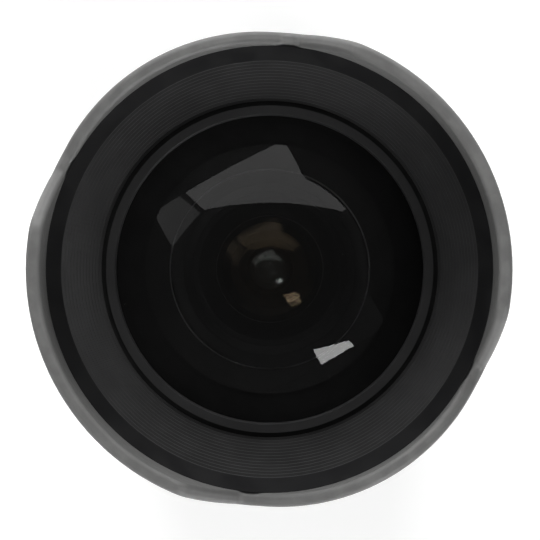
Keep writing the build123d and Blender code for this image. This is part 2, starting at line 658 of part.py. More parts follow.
# Iris drive ring with the bar that the iris's fork straddles while the focus cell slides
drive_rear = rear_floor_top + DRIVE_RING_LIFT
drive_front = drive_rear + DRIVE_RING_THICKNESS
bar_top = web_rear - 2 * GAP
with BuildPart() as iris_drive_ring:
    revolve(band(iris_housing_radius + GAP, drive_ring_radius, drive_rear, drive_front), axis=Axis.Z)
    with PolarLocations(bar_inner + BAR_THICKNESS / 2, 1, start_angle=BAR_ANGLE):
        with Locations((0, 0, drive_rear)):
            Box(BAR_THICKNESS, BAR_WIDTH, bar_top - drive_rear,
                align=(Align.CENTER, Align.CENTER, Align.MIN))
    with PolarLocations(key_inner, 1, start_angle=KEY_ANGLE):
        with Locations((KEY_BITE / 2 + 0.5, 0, key_rear)):
            Box(KEY_BITE + 1, KEY_WIDTH, KEY_HEIGHT, mode=Mode.SUBTRACT,
                align=(Align.CENTER, Align.CENTER, Align.MIN))

iris_drive_ring.part.label = "iris_drive_ring"
export_step(iris_drive_ring.part, "parts/iris_drive_ring.step")

# Guide barrel: the fixed tube that the focus cell slides in
slot_width = 2 * (ROLLER_RADIUS + SLIDE)
slot_rear = follower - ROLLER_RADIUS - GAP
slot_front = follower + FOCUS_TRAVEL + ROLLER_RADIUS + GAP
housing_screw_circle = (guide_bore + guide_radius) / 2
with BuildPart() as guide_barrel:
    revolve(turned((guide_bore, rear_floor_top), (guide_flange_radius, rear_floor_top),
                   (guide_flange_radius, guide_flange_top), (guide_radius, guide_flange_top),
                   (guide_radius, hood_rear), (guide_bore, hood_rear)), axis=Axis.Z)
    with BuildSketch(Plane.XY.offset(rear_floor_top)):
        add(sector(guide_bore - 1, guide_flange_radius + 1, window_start, window_arc))
    extrude(amount=key_front + FACE_GAP - rear_floor_top, mode=Mode.SUBTRACT)
    with PolarLocations(guide_radius, FOLLOWER_COUNT, start_angle=FOLLOWER_START):
        with Locations((0, 0, (slot_rear + slot_front) / 2)):
            Box(3 * GUIDE_WALL, slot_width, slot_front - slot_rear, mode=Mode.SUBTRACT)
    with PolarLocations(guide_screw_circle, GUIDE_SCREW_COUNT, start_angle=GUIDE_SCREW_START):
        with Locations((0, 0, rear_floor_top)):
            Cylinder(SHANK, GUIDE_SCREW_BITE + BORE_END, mode=Mode.SUBTRACT,
                     align=(Align.CENTER, Align.CENTER, Align.MIN))
    with PolarLocations(housing_screw_circle, HOUSING_SCREW_COUNT, start_angle=HOUSING_SCREW_START):
        with Locations((0, 0, hood_rear)):
            Cylinder(SMALL_SHANK, HOUSING_SCREW_BITE + BORE_END, mode=Mode.SUBTRACT,
                     align=(Align.CENTER, Align.CENTER, Align.MAX))

guide_barrel.part.label = "guide_barrel"
export_step(guide_barrel.part, "parts/guide_barrel.step")

guide_screw = screw(FLANGE_THICKNESS, REAR_FLOOR + GUIDE_SCREW_BITE, SHANK, HEAD, HEAD - SHANK,
                    facing=-1, sunk=True)
with BuildPart() as guide_screws:
    with PolarLocations(guide_screw_circle, GUIDE_SCREW_COUNT, start_angle=GUIDE_SCREW_START):
        add(guide_screw)

guide_screws.part.label = "guide_screws"
export_step(guide_screws.part, "parts/guide_screws.step")

# One helical slot, as a cutter whose roller starts on the X axis at zero height
cam_middle = (cam_bore + cam_radius) / 2
with BuildPart() as cam_cutter:
    with BuildLine():
        cam_path = Helix(FOCUS_TRAVEL * 360 / FOCUS_TURN, FOCUS_TRAVEL, cam_middle, lefthand=True)
    with BuildSketch(Plane(origin=cam_path @ 0, x_dir=(1, 0, 0), z_dir=cam_path % 0)):
        Rectangle(3 * CAM_WALL, slot_width)
    sweep(is_frenet=True)
    for height, turn in ((0, 0), (FOCUS_TRAVEL, -FOCUS_TURN)):
        with Locations(Location((0, 0, height), (0, 0, turn))):
            with Locations(Location((cam_middle, 0, 0), (0, 90, 0))):
                Cylinder(slot_width / 2, 3 * CAM_WALL)

# Cam sleeve: turns round the guide barrel and moves the rollers along its slots
cam_flange_front = cam_flange_rear + CAM_FLANGE
cam_screw_circle = (cam_radius + cam_flange_radius) / 2 + HOLE_CLEARANCE
cam_screw_start = STOP_PIN_ANGLE + CAM_SCREW_CLEAR
cam_screw_range = 360 - FOCUS_TURN - 2 * CAM_SCREW_CLEAR
with BuildPart() as cam_sleeve:
    revolve(turned((cam_bore, cam_rear), (cam_radius, cam_rear), (cam_radius, cam_flange_rear),
                   (cam_flange_radius, cam_flange_rear), (cam_flange_radius, cam_flange_front),
                   (cam_radius, cam_flange_front), (cam_radius, cam_front), (cam_bore, cam_front)),
            axis=Axis.Z)
    with Locations((0, 0, follower)):
        with PolarLocations(0, FOLLOWER_COUNT, start_angle=FOLLOWER_START):
            add(cam_cutter.part, mode=Mode.SUBTRACT)
    with BuildLine(Plane.XY, mode=Mode.PRIVATE):
        stop_path = CenterArc((0, 0), stop_pin_circle, STOP_PIN_ANGLE - FOCUS_TURN, FOCUS_TURN)
    with BuildSketch(Plane.XY.offset(cam_flange_rear)):
        SlotArc(stop_path, 2 * (STOP_PIN_RADIUS + HOLE_CLEARANCE))
    extrude(amount=CAM_FLANGE, mode=Mode.SUBTRACT)
    with PolarLocations(cam_screw_circle, CAM_SCREW_COUNT, cam_screw_start, cam_screw_range, endpoint=True):
        with Locations((0, 0, cam_flange_rear)):
            Cylinder(SHANK, 2 * CAM_FLANGE, mode=Mode.SUBTRACT)

cam_sleeve.part.label = "cam_sleeve"
export_step(cam_sleeve.part, "parts/cam_sleeve.step")

# Focus ring: the scale, the bed of the grip and the web that turns the cam sleeve
web_top = cam_flange_front + FOCUS_WEB
with BuildPart() as focus_ring:
    revolve(turned((focus_bore, focus_rear), (scale_radius, focus_rear), (scale_radius, grip_rear),
                   (grip_bed_radius, grip_rear), (grip_bed_radius, grip_front),
                   (scale_radius, grip_front), (scale_radius, focus_front),
                   (focus_bore, focus_front), (focus_bore, web_top), (cam_radius, web_top),
                   (cam_radius, cam_flange_front), (focus_bore, cam_flange_front)), axis=Axis.Z)
    with PolarLocations(cam_screw_circle, CAM_SCREW_COUNT, cam_screw_start, cam_screw_range, endpoint=True):
        with Locations((0, 0, web_top)):
            Cylinder(SHANK, 2 * FOCUS_WEB, mode=Mode.SUBTRACT)
    chamfer(focus_ring.edges().filter_by(GeomType.CIRCLE).filter_by(
        lambda edge: abs(edge.radius - scale_radius) < 0.01).group_by(Axis.Z)[0], FACE_GAP * 2)
    chamfer(focus_ring.edges().filter_by(GeomType.CIRCLE).filter_by(
        lambda edge: abs(edge.radius - scale_radius) < 0.01).group_by(Axis.Z)[-1], FACE_GAP * 2)

focus_ring.part.label = "focus_ring"
export_step(focus_ring.part, "parts/focus_ring.step")

# Rubber grip, ribbed along the axis
grip_pitch = 360 / GRIP_RIB_COUNT
with BuildPart() as focus_grip:
    with BuildSketch(Plane.XY.offset(grip_rear + HOLE_CLEARANCE)):
        Circle(grip_radius - GRIP_RIB_HEIGHT)
        Circle(grip_bed_radius, mode=Mode.SUBTRACT)
        for rib in range(GRIP_RIB_COUNT):
            add(sector(grip_radius - 2 * GRIP_RIB_HEIGHT, grip_radius, rib * grip_pitch,
                       grip_pitch * GRIP_RIB_SHARE))
    extrude(amount=GRIP_LENGTH - 2 * HOLE_CLEARANCE)

focus_grip.part.label = "focus_grip"
export_step(focus_grip.part, "parts/focus_grip.step")

cam_screw = screw(web_top, FOCUS_WEB + CAM_FLANGE, SHANK, HEAD, HEAD_HEIGHT)
with BuildPart() as cam_screws:
    with PolarLocations(cam_screw_circle, CAM_SCREW_COUNT, cam_screw_start, cam_screw_range, endpoint=True):
        add(cam_screw)

cam_screws.part.label = "cam_screws"
export_step(cam_screws.part, "parts/cam_screws.step")

# Hood shell: the flared barrel with two tall and two short petals
flare_rear = hood_rear + HOOD_COLLAR
flare_front = flare_rear + HOOD_FLARE
hood_lip_top = front_flange_top + HOOD_LIP
hood_lip_bore = housing_flange_radius - HOOD_LIP_WIDTH
hood_screw_circle = housing_flange_radius - HOOD_LIP_WIDTH / 2
flare_middle = ((hood_rear_radius + HOOD_RADIUS) / 2 + HOOD_FLARE_SAG,
                (flare_rear + flare_front) / 2 - HOOD_FLARE_SAG)
petal_top = valley + TALL_PETAL
cut_reach = HOOD_RADIUS + 1  # well clear of the wall
flank_turn = radians(TALL_TIP_ANGLE + TALL_FOOT_ANGLE) / 2
flank_plane = Plane((0, 0, 0), x_dir=(-cos(flank_turn), sin(flank_turn), 0),
                    z_dir=(sin(flank_turn), cos(flank_turn), 0))
gap_reach = cut_reach * cos(flank_turn)  # just past the middle of a short petal
flank_reach = HOOD_RADIUS * sin(radians(TALL_FOOT_ANGLE - TALL_TIP_ANGLE) / 2)
flank_slope = 2 * flank_reach / TALL_PETAL
short_foot = HOOD_RADIUS * sin(radians(SHORT_FOOT_ANGLE))
with BuildPart() as petal_gaps:
    with BuildSketch(flank_plane):
        with BuildLine():
            Polyline((flank_reach + flank_slope, petal_top + 1), (-flank_reach, valley),
                     (-gap_reach, valley), (-gap_reach, petal_top + 1), close=True)
        make_face()
    extrude(amount=cut_reach)
    mirror(about=Plane.XZ)
    mirror(about=Plane.YZ)
    with BuildSketch(Plane.YZ):
        with BuildLine():
            ThreePointArc((-short_foot, valley), (0, valley + SHORT_PETAL), (short_foot, valley))
            Polyline((short_foot, valley), (short_foot, valley - 1), (-short_foot, valley - 1),
                     (-short_foot, valley))
        make_face()
    extrude(amount=cut_reach, both=True, mode=Mode.SUBTRACT)


def cross_edges(height):
    """The straight edges that cross the hood's wall at a height."""
    return hood_shell.edges().filter_by(GeomType.LINE).filter_by_position(Axis.Z, height, height)


def petal_edges(radius):
    """The edges of the petals that run along the hood's wall at a radius."""
    return hood_shell.edges().filter_by(GeomType.LINE, reverse=True).filter_by(
        lambda edge: (edge @ 0.5).Z > valley - FACE_GAP
        and all(abs(hypot((edge @ share).X, (edge @ share).Y) - radius) < 0.01 for share in (0, 0.5, 1)))


with BuildPart() as hood_shell:
    with BuildSketch(Plane.XZ):
        with BuildLine():
            Polyline((HOOD_RADIUS, flare_front), (HOOD_RADIUS, petal_top), (hood_bore, petal_top),
                     (hood_bore, flare_front + HOOD_WALL / 2),
                     (housing_flange_radius, hood_lip_top),
                     (hood_lip_bore, hood_lip_top), (hood_lip_bore, front_flange_top),
                     (housing_flange_radius, front_flange_top), (housing_flange_radius, hood_rear),
                     (hood_rear_radius, hood_rear), (hood_rear_radius, flare_rear))
            ThreePointArc((hood_rear_radius, flare_rear), flare_middle, (HOOD_RADIUS, flare_front))
        make_face()
    revolve(axis=Axis.Z)
    add(petal_gaps.part, mode=Mode.SUBTRACT)
    fillet(cross_edges(petal_top), PETAL_CORNER)
    fillet(cross_edges(valley), VALLEY_ROUND)
    fillet(petal_edges(HOOD_RADIUS), PETAL_OUTER_EDGE)
    fillet(petal_edges(hood_bore), PETAL_INNER_EDGE)
    with PolarLocations(hood_screw_circle, HOOD_SCREW_COUNT):
        with Locations((0, 0, hood_lip_top)):
            Cylinder(SMALL_SHANK, 2 * HOOD_LIP, mode=Mode.SUBTRACT)

hood_shell.part.label = "hood_shell"
export_step(hood_shell.part, "parts/hood_shell.step")

hood_screw = screw(hood_lip_top, HOOD_LIP + HOOD_SCREW_BITE, SMALL_SHANK, SMALL_HEAD, SMALL_HEAD_HEIGHT)
with BuildPart() as hood_screws:
    with PolarLocations(hood_screw_circle, HOOD_SCREW_COUNT):
        add(hood_screw)

hood_screws.part.label = "hood_screws"
export_step(hood_screws.part, "parts/hood_screws.step")

# Heights of the front group, from its seat in the front housing
shelf_top = hood_rear + SHELF_HEIGHT
shelf_bottom = shelf_top - SHELF
front_apex = shelf_top + FRONT_APEX
front_ring_rear = front_apex - sag(front_curve, front_ring_bore) + GLASS_TOUCH
front_ring_front = front_ring_rear + FRONT_RING_HEIGHT
housing_front = front_ring_front - FRONT_RING_STANDOUT
glass_edge = front_apex - sag(front_curve, FRONT_GLASS_RADIUS)
second_apex = shelf_top + SECOND_APEX
second_rim = shelf_top + SECOND_RIM
third_apex = shelf_top + THIRD_APEX
third_rim = shelf_top + THIRD_RIM
second_bore = second_radius + SEAT
second_lip = second_radius - SECOND_LIP
spacer_bore = second_radius - SPACER_WIDTH
group_ring_bore = second_radius - GROUP_RING_WIDTH
second_stop = second_apex - sag(SECOND_CURVE, second_lip) + GLASS_TOUCH

# Front housing: holds the front group and carries the hood
with BuildPart() as front_housing:
    revolve(turned((second_bore, hood_rear), (housing_flange_radius, hood_rear),
                   (housing_flange_radius, front_flange_top), (front_sleeve_radius, front_flange_top),
                   (front_sleeve_radius, shelf_bottom), (front_rim_radius, shelf_bottom),
                   (front_rim_radius, housing_front), (front_ring_radius, housing_front),
                   (front_ring_radius, glass_edge + HOLE_CLEARANCE),
                   (FRONT_GLASS_RADIUS + SEAT, glass_edge + HOLE_CLEARANCE),
                   (FRONT_GLASS_RADIUS + SEAT, shelf_top), (second_lip, shelf_top),
                   (second_lip, second_stop), (second_bore, second_stop)), axis=Axis.Z)
    with PolarLocations(housing_screw_circle, HOUSING_SCREW_COUNT, start_angle=HOUSING_SCREW_START):
        with Locations((0, 0, hood_rear)):
            Cylinder(SMALL_SHANK, 2 * FRONT_FLANGE, mode=Mode.SUBTRACT)
        with Locations((0, 0, shelf_bottom)):
            Cylinder(ACCESS_HOLE, SHELF, mode=Mode.SUBTRACT,
                     align=(Align.CENTER, Align.CENTER, Align.MIN))
    with PolarLocations(hood_screw_circle, HOOD_SCREW_COUNT):
        with Locations((0, 0, front_flange_top)):
            Cylinder(SMALL_SHANK, HOOD_SCREW_BITE + BORE_END, mode=Mode.SUBTRACT,
                     align=(Align.CENTER, Align.CENTER, Align.MAX))

front_housing.part.label = "front_housing"
export_step(front_housing.part, "parts/front_housing.step")

housing_screw = screw(front_flange_top, FRONT_FLANGE + HOUSING_SCREW_BITE, SMALL_SHANK, SMALL_HEAD,
                      SMALL_HEAD_HEIGHT)
with BuildPart() as housing_screws:
    with PolarLocations(housing_screw_circle, HOUSING_SCREW_COUNT, start_angle=HOUSING_SCREW_START):
        add(housing_screw)

housing_screws.part.label = "housing_screws"
export_step(housing_screws.part, "parts/housing_screws.step")

# Hood liner: a smooth band below the petals, then a stepped cone down to the front housing
cone_bore = front_ring_radius + DARK_GAP
cone_bottom = housing_front + LINER_FOOT_WALL / 3
band_bottom = valley - LINER_BAND
foot_radius = front_rim_radius + LINER_FOOT_WALL
tread = (liner_rim - cone_bore) / LINER_STEPS
riser = (band_bottom - cone_bottom) / LINER_STEPS
step_points = []
for step in range(LINER_STEPS):
    lip = cone_bottom + step * riser
    step_points.append((cone_bore + step * tread, lip))
    step_points.append((cone_bore + (step + 1) * tread, lip - LINER_STEP_DROP))
with BuildPart() as hood_liner:
    with BuildSketch(Plane.XZ):
        with BuildLine():
            Polyline(*step_points, (liner_rim, band_bottom), (hood_bore - FACE_GAP, valley),
                     (hood_bore, valley), (hood_bore, valley - LINER_SKIRT),
                     (foot_radius, cone_bottom - LINER_THICKNESS),
                     (foot_radius, housing_front - LINER_FOOT),
                     (front_rim_radius, housing_front - LINER_FOOT),
                     (front_rim_radius, housing_front), (cone_bore, housing_front), close=True)
        make_face()
    revolve(axis=Axis.Z)

hood_liner.part.label = "hood_liner"
export_step(hood_liner.part, "parts/hood_liner.step")

# Front retaining ring
with BuildPart() as front_retaining_ring:
    revolve(turned((front_ring_bore, front_ring_rear), (front_ring_radius, front_ring_rear),
                   (front_ring_radius, front_ring_front),
                   (front_ring_bore + 2 * FACE_GAP, front_ring_front),
                   (front_ring_bore, front_ring_front - 2 * FACE_GAP)), axis=Axis.Z)

front_retaining_ring.part.label = "front_retaining_ring"
export_step(front_retaining_ring.part, "parts/front_retaining_ring.step")

# Front group
with BuildPart() as front_element:
    revolve(lens_section(front_apex, front_curve, shelf_top + sag(front_hollow_curve, front_hollow_radius),
                         front_hollow_curve, FRONT_GLASS_RADIUS, front_hollow_radius), axis=Axis.Z)

front_element.part.label = "front_element"
export_step(front_element.part, "parts/front_element.step")

with BuildPart() as second_element:
    revolve(lens_section(second_apex, SECOND_CURVE,
                         second_rim + sag(SECOND_HOLLOW_CURVE, SECOND_HOLLOW_RADIUS),
                         SECOND_HOLLOW_CURVE, second_radius, SECOND_HOLLOW_RADIUS), axis=Axis.Z)

second_element.part.label = "second_element"
export_step(second_element.part, "parts/second_element.step")

third_touch = third_apex - sag(THIRD_CURVE, spacer_bore) + GLASS_TOUCH
with BuildPart() as front_spacer:
    revolve(band(spacer_bore, second_radius, third_touch, second_rim), axis=Axis.Z)

front_spacer.part.label = "front_spacer"
export_step(front_spacer.part, "parts/front_spacer.step")

with BuildPart() as third_element:
    revolve(lens_section(third_apex, THIRD_CURVE,
                         third_rim + sag(THIRD_HOLLOW_CURVE, THIRD_HOLLOW_RADIUS),
                         THIRD_HOLLOW_CURVE, second_radius, THIRD_HOLLOW_RADIUS), axis=Axis.Z)

third_element.part.label = "third_element"
export_step(third_element.part, "parts/third_element.step")

with BuildPart() as front_group_ring:
    revolve(band(group_ring_bore, second_bore, hood_rear + GROUP_RING_RECESS, third_rim), axis=Axis.Z)

front_group_ring.part.label = "front_group_ring"
export_step(front_group_ring.part, "parts/front_group_ring.step")

# Focus cell: slides along the optical axis and carries the middle group, the iris and the rear group
with BuildPart() as focus_cell:
    revolve(turned((cell_bore, cell_rear), (cell_radius, cell_rear), (cell_radius, cell_front),
                   (cell_bore, cell_front), (cell_bore, web_front), (middle_nose_radius, web_front),
                   (middle_nose_radius, web_rear), (cell_bore, web_rear)), axis=Axis.Z)
    with Locations((0, 0, follower)):
        with PolarLocations(cell_radius, FOLLOWER_COUNT, start_angle=FOLLOWER_START):
            with Locations(Location((0, 0, 0), (0, 90, 0))):
                Cylinder(FOLLOWER_SHANK, 3 * CELL_WALL, mode=Mode.SUBTRACT)
    with PolarLocations(middle_screw_circle, MIDDLE_SCREW_COUNT, start_angle=FOLLOWER_START):
        with Locations((0, 0, web_rear)):
            Cylinder(SMALL_SHANK, 2 * CELL_WEB, mode=Mode.SUBTRACT)
    with PolarLocations(iris_screw_circle, IRIS_SCREW_COUNT, start_angle=180 / BLADE_COUNT):
        with Locations((0, 0, web_front)):
            CounterSinkHole(SMALL_SHANK, SMALL_HEAD, depth=CELL_WEB, counter_sink_angle=90)

focus_cell.part.label = "focus_cell"
export_step(focus_cell.part, "parts/focus_cell.step")

# Rollers in the slots, each on a screw into the focus cell
roller_end = cam_radius - HOLE_CLEARANCE
with BuildPart() as follower_rollers:
    with Locations((0, 0, follower)):
        with PolarLocations(cell_radius, FOLLOWER_COUNT, start_angle=FOLLOWER_START):
            with Locations(Location((0, 0, 0), (0, 90, 0))):
                Cylinder(ROLLER_RADIUS, roller_end - cell_radius,
                         align=(Align.CENTER, Align.CENTER, Align.MIN))
                Cylinder(FOLLOWER_SHANK + SLIDE, 3 * GUIDE_WALL, mode=Mode.SUBTRACT)
        with PolarLocations(roller_end, FOLLOWER_COUNT, start_angle=FOLLOWER_START):
            with Locations(Location((0, 0, 0), (0, 90, 0))):
                Cylinder(FOLLOWER_HEAD + SLIDE, 2 * ROLLER_RECESS, mode=Mode.SUBTRACT)

follower_rollers.part.label = "follower_rollers"
export_step(follower_rollers.part, "parts/follower_rollers.step")

follower_screw = screw(0, roller_end - ROLLER_RECESS - cell_bore, FOLLOWER_SHANK, FOLLOWER_HEAD,
                       ROLLER_RECESS - SLIDE)
with BuildPart() as follower_screws:
    with Locations((0, 0, follower)):
        with PolarLocations(roller_end - ROLLER_RECESS, FOLLOWER_COUNT, start_angle=FOLLOWER_START):
            with Locations(Location((0, 0, 0), (0, 90, 0))):
                add(follower_screw)

follower_screws.part.label = "follower_screws"
export_step(follower_screws.part, "parts/follower_screws.step")

# Middle barrel and its glass, ahead of the iris
middle_front = web_front + MIDDLE_LENGTH
middle_seat = web_rear + MIDDLE_LIP
middle_bore = middle_glass_radius + SEAT
middle_spacer_bore = middle_glass_radius - MIDDLE_SPACER_WIDTH
middle_ring_bore = middle_glass_radius - MIDDLE_RING_WIDTH
with BuildPart() as middle_barrel:
    revolve(turned((middle_lip_bore, web_rear), (middle_nose_radius, web_rear),
                   (middle_nose_radius, web_front),
                   (middle_flange_radius, web_front), (middle_flange_radius, web_front + MIDDLE_FLANGE),
                   (middle_radius, web_front + MIDDLE_FLANGE), (middle_radius, middle_front),
                   (middle_bore, middle_front), (middle_bore, middle_seat),
                   (middle_lip_bore, middle_seat)), axis=Axis.Z)
    with PolarLocations(middle_screw_circle, MIDDLE_SCREW_COUNT, start_angle=FOLLOWER_START):
        with Locations((0, 0, web_front)):
            Cylinder(SMALL_SHANK, 2 * MIDDLE_FLANGE, mode=Mode.SUBTRACT)

middle_barrel.part.label = "middle_barrel"
export_step(middle_barrel.part, "parts/middle_barrel.step")

middle_screw = screw(web_front + MIDDLE_FLANGE, MIDDLE_FLANGE + MIDDLE_SCREW_BITE, SMALL_SHANK, SMALL_HEAD,
                     SMALL_HEAD_HEIGHT)
with BuildPart() as middle_screws:
    with PolarLocations(middle_screw_circle, MIDDLE_SCREW_COUNT, start_angle=FOLLOWER_START):
        add(middle_screw)

middle_screws.part.label = "middle_screws"
export_step(middle_screws.part, "parts/middle_screws.step")

fourth_apex = web_rear + FOURTH_APEX
cement_apex = web_rear + CEMENT_APEX
fifth_rear = web_rear + FIFTH_REAR
sixth_apex = web_rear + SIXTH_APEX
with BuildPart() as fourth_element:
    revolve(lens_section(fourth_apex, FOURTH_CURVE, cement_apex, CEMENT_CURVE, middle_glass_radius),
            axis=Axis.Z)

fourth_element.part.label = "fourth_element"
export_step(fourth_element.part, "parts/fourth_element.step")

with BuildPart() as fifth_element:
    revolve(lens_section(cement_apex, CEMENT_CURVE, fifth_rear, FIFTH_REAR_CURVE, middle_glass_radius),
            axis=Axis.Z)

fifth_element.part.label = "fifth_element"
export_step(fifth_element.part, "parts/fifth_element.step")

with BuildPart() as sixth_element:
    revolve(lens_section(sixth_apex, SIXTH_CURVE, middle_seat + sag(SIXTH_REAR_CURVE, middle_glass_radius),
                         SIXTH_REAR_CURVE, middle_glass_radius), axis=Axis.Z)

sixth_element.part.label = "sixth_element"
export_step(sixth_element.part, "parts/sixth_element.step")

with BuildPart() as middle_spacer:
    revolve(band(middle_spacer_bore, middle_glass_radius,
                 sixth_apex - sag(SIXTH_CURVE, middle_spacer_bore) + GLASS_TOUCH,
                 fifth_rear - sag(FIFTH_REAR_CURVE, middle_glass_radius) - GLASS_TOUCH), axis=Axis.Z)

middle_spacer.part.label = "middle_spacer"
export_step(middle_spacer.part, "parts/middle_spacer.step")

with BuildPart() as middle_ring:
    revolve(band(middle_ring_bore, middle_bore,
                 fourth_apex - sag(FOURTH_CURVE, middle_ring_bore) + GLASS_TOUCH, middle_front),
            axis=Axis.Z)

middle_ring.part.label = "middle_ring"
export_step(middle_ring.part, "parts/middle_ring.step")

# Iris housing: a cup, open to the rear, screwed to the focus cell's web
iris_rear = web_rear - IRIS_HOUSING_LENGTH
iris_floor = web_rear - IRIS_FLOOR
blade_rear = iris_floor - BLADE_HEADROOM - BLADE_THICKNESS - (BLADE_COUNT - 1) * BLADE_PITCH
actuator_front = blade_rear - ACTUATOR_GAP
actuator_rear = actuator_front - ACTUATOR_THICKNESS
prong_offset = (BAR_WIDTH + FORK_PRONG) / 2 + SLIDE
fork_half = half_angle(BAR_WIDTH + 2 * SLIDE + 2 * FORK_PRONG, iris_bore)
with BuildPart() as iris_housing:
    revolve(turned((iris_bore, iris_rear), (iris_housing_radius, iris_rear),
                   (iris_housing_radius, web_rear), (IRIS_OPENING, web_rear),
                   (IRIS_OPENING, iris_floor), (iris_bore, iris_floor)), axis=Axis.Z)
    with BuildSketch(Plane.XY.offset(actuator_rear - FACE_GAP)):
        add(sector(iris_bore - 1, iris_housing_radius + 1, BAR_ANGLE - fork_half - WINDOW_MARGIN,
                   APERTURE_TURN + 2 * (fork_half + WINDOW_MARGIN)))
    extrude(amount=ACTUATOR_THICKNESS + 2 * FACE_GAP, mode=Mode.SUBTRACT)
    with PolarLocations(pivot_circle, BLADE_COUNT):
        with Locations((0, 0, iris_floor)):
            Cylinder(PIN_RADIUS + SLIDE, PIN_SINK + HOLE_CLEARANCE, mode=Mode.SUBTRACT,
                     align=(Align.CENTER, Align.CENTER, Align.MIN))
    with PolarLocations(iris_screw_circle, IRIS_SCREW_COUNT, start_angle=180 / BLADE_COUNT):
        with Locations((0, 0, web_rear)):
            Cylinder(SMALL_SHANK, IRIS_SCREW_BITE + BORE_END, mode=Mode.SUBTRACT,
                     align=(Align.CENTER, Align.CENTER, Align.MAX))

iris_housing.part.label = "iris_housing"
export_step(iris_housing.part, "parts/iris_housing.step")

iris_screw = screw(web_front, CELL_WEB + IRIS_SCREW_BITE, SMALL_SHANK, SMALL_HEAD,
                   SMALL_HEAD - SMALL_SHANK, sunk=True)
with BuildPart() as iris_screws:
    with PolarLocations(iris_screw_circle, IRIS_SCREW_COUNT, start_angle=180 / BLADE_COUNT):
        add(iris_screw)

iris_screws.part.label = "iris_screws"
export_step(iris_screws.part, "parts/iris_screws.step")

# A blade turns on its pivot pin in the housing's floor; its drive pin runs in an actuator slot.
pivot_pin = Vector(pivot_circle, 0)
drive_pin = Vector(pivot_circle * cos(radians(DRIVE_PIN_ANGLE)),
                   pivot_circle * sin(radians(DRIVE_PIN_ANGLE)))


def drive_pin_place(share):
    """The drive pin as the actuator sees it, a share of the way from open to closed."""
    swung = (drive_pin - pivot_pin).rotate(Axis.Z, BLADE_TURN * share) + pivot_pin
    return swung.rotate(Axis.Z, -APERTURE_TURN * share)


# Iris actuator: one slot for each blade, and the fork that straddles the drive bar
with BuildPart() as iris_actuator:
    with BuildLine(mode=Mode.PRIVATE):
        slot_path = ThreePointArc(drive_pin_place(0), drive_pin_place(0.5), drive_pin_place(1))
    with BuildSketch(Plane.XY.offset(actuator_rear)):
        Circle(iris_bore - RUN)
        Circle(pivot_circle - ACTUATOR_INSET, mode=Mode.SUBTRACT)
        with PolarLocations(0, BLADE_COUNT):
            SlotArc(slot_path, 2 * (PIN_RADIUS + SLIDE), mode=Mode.SUBTRACT)
        with PolarLocations((iris_bore - IRIS_WALL + fork_radius) / 2, 1, start_angle=BAR_ANGLE):
            with Locations((0, prong_offset), (0, -prong_offset)):
                Rectangle(fork_radius - iris_bore + IRIS_WALL, FORK_PRONG)
    extrude(amount=ACTUATOR_THICKNESS)

iris_actuator.part.label = "iris_actuator"
export_step(iris_actuator.part, "parts/iris_actuator.step")

blade_outer = pivot_circle - BLADE_INSET
blade_inner = blade_outer - BLADE_WIDTH
blade_middle = (blade_inner + blade_outer) / 2
blade_half = BLADE_WIDTH / 2
tip_way = Vector(cos(radians(BLADE_SPAN)), sin(radians(BLADE_SPAN)))
blade_tip = tip_way * blade_middle + Vector(-tip_way.Y, tip_way.X) * blade_half
strap = drive_pin - pivot_pin
for number in range(BLADE_COUNT):
    turn = number * 360 / BLADE_COUNT
    level = blade_rear + number * BLADE_PITCH
    seat = Plane((0, 0, level), x_dir=(cos(radians(turn)), sin(radians(turn)), 0))
    with BuildPart() as iris_blade:
        with BuildSketch(seat):
            with BuildLine():
                outer_edge = CenterArc((0, 0), blade_outer, -BLADE_TAIL, BLADE_SPAN + BLADE_TAIL)
                inner_edge = CenterArc((0, 0), blade_inner, -BLADE_TAIL, BLADE_SPAN + BLADE_TAIL)
                ThreePointArc(outer_edge @ 1, blade_tip, inner_edge @ 1)
                Line(inner_edge @ 0, outer_edge @ 0)
            make_face()
            with Locations(pivot_pin, drive_pin):
                Circle(BLADE_BOSS)
            with Locations((pivot_pin + drive_pin) / 2):
                Rectangle(strap.length, 2 * BLADE_BOSS, rotation=degrees(atan2(strap.Y, strap.X)))
        extrude(amount=BLADE_THICKNESS)
        with BuildSketch(seat):
            with Locations(pivot_pin):
                Circle(PIN_RADIUS)
        extrude(amount=iris_floor + PIN_SINK - level)
        with BuildSketch(seat):
            with Locations(drive_pin):
                Circle(PIN_RADIUS)
        extrude(amount=actuator_rear + HOLE_CLEARANCE - level)
    iris_blade.part.label = f"iris_blade_{number + 1}"
    export_step(iris_blade.part, f"parts/iris_blade_{number + 1}.step")

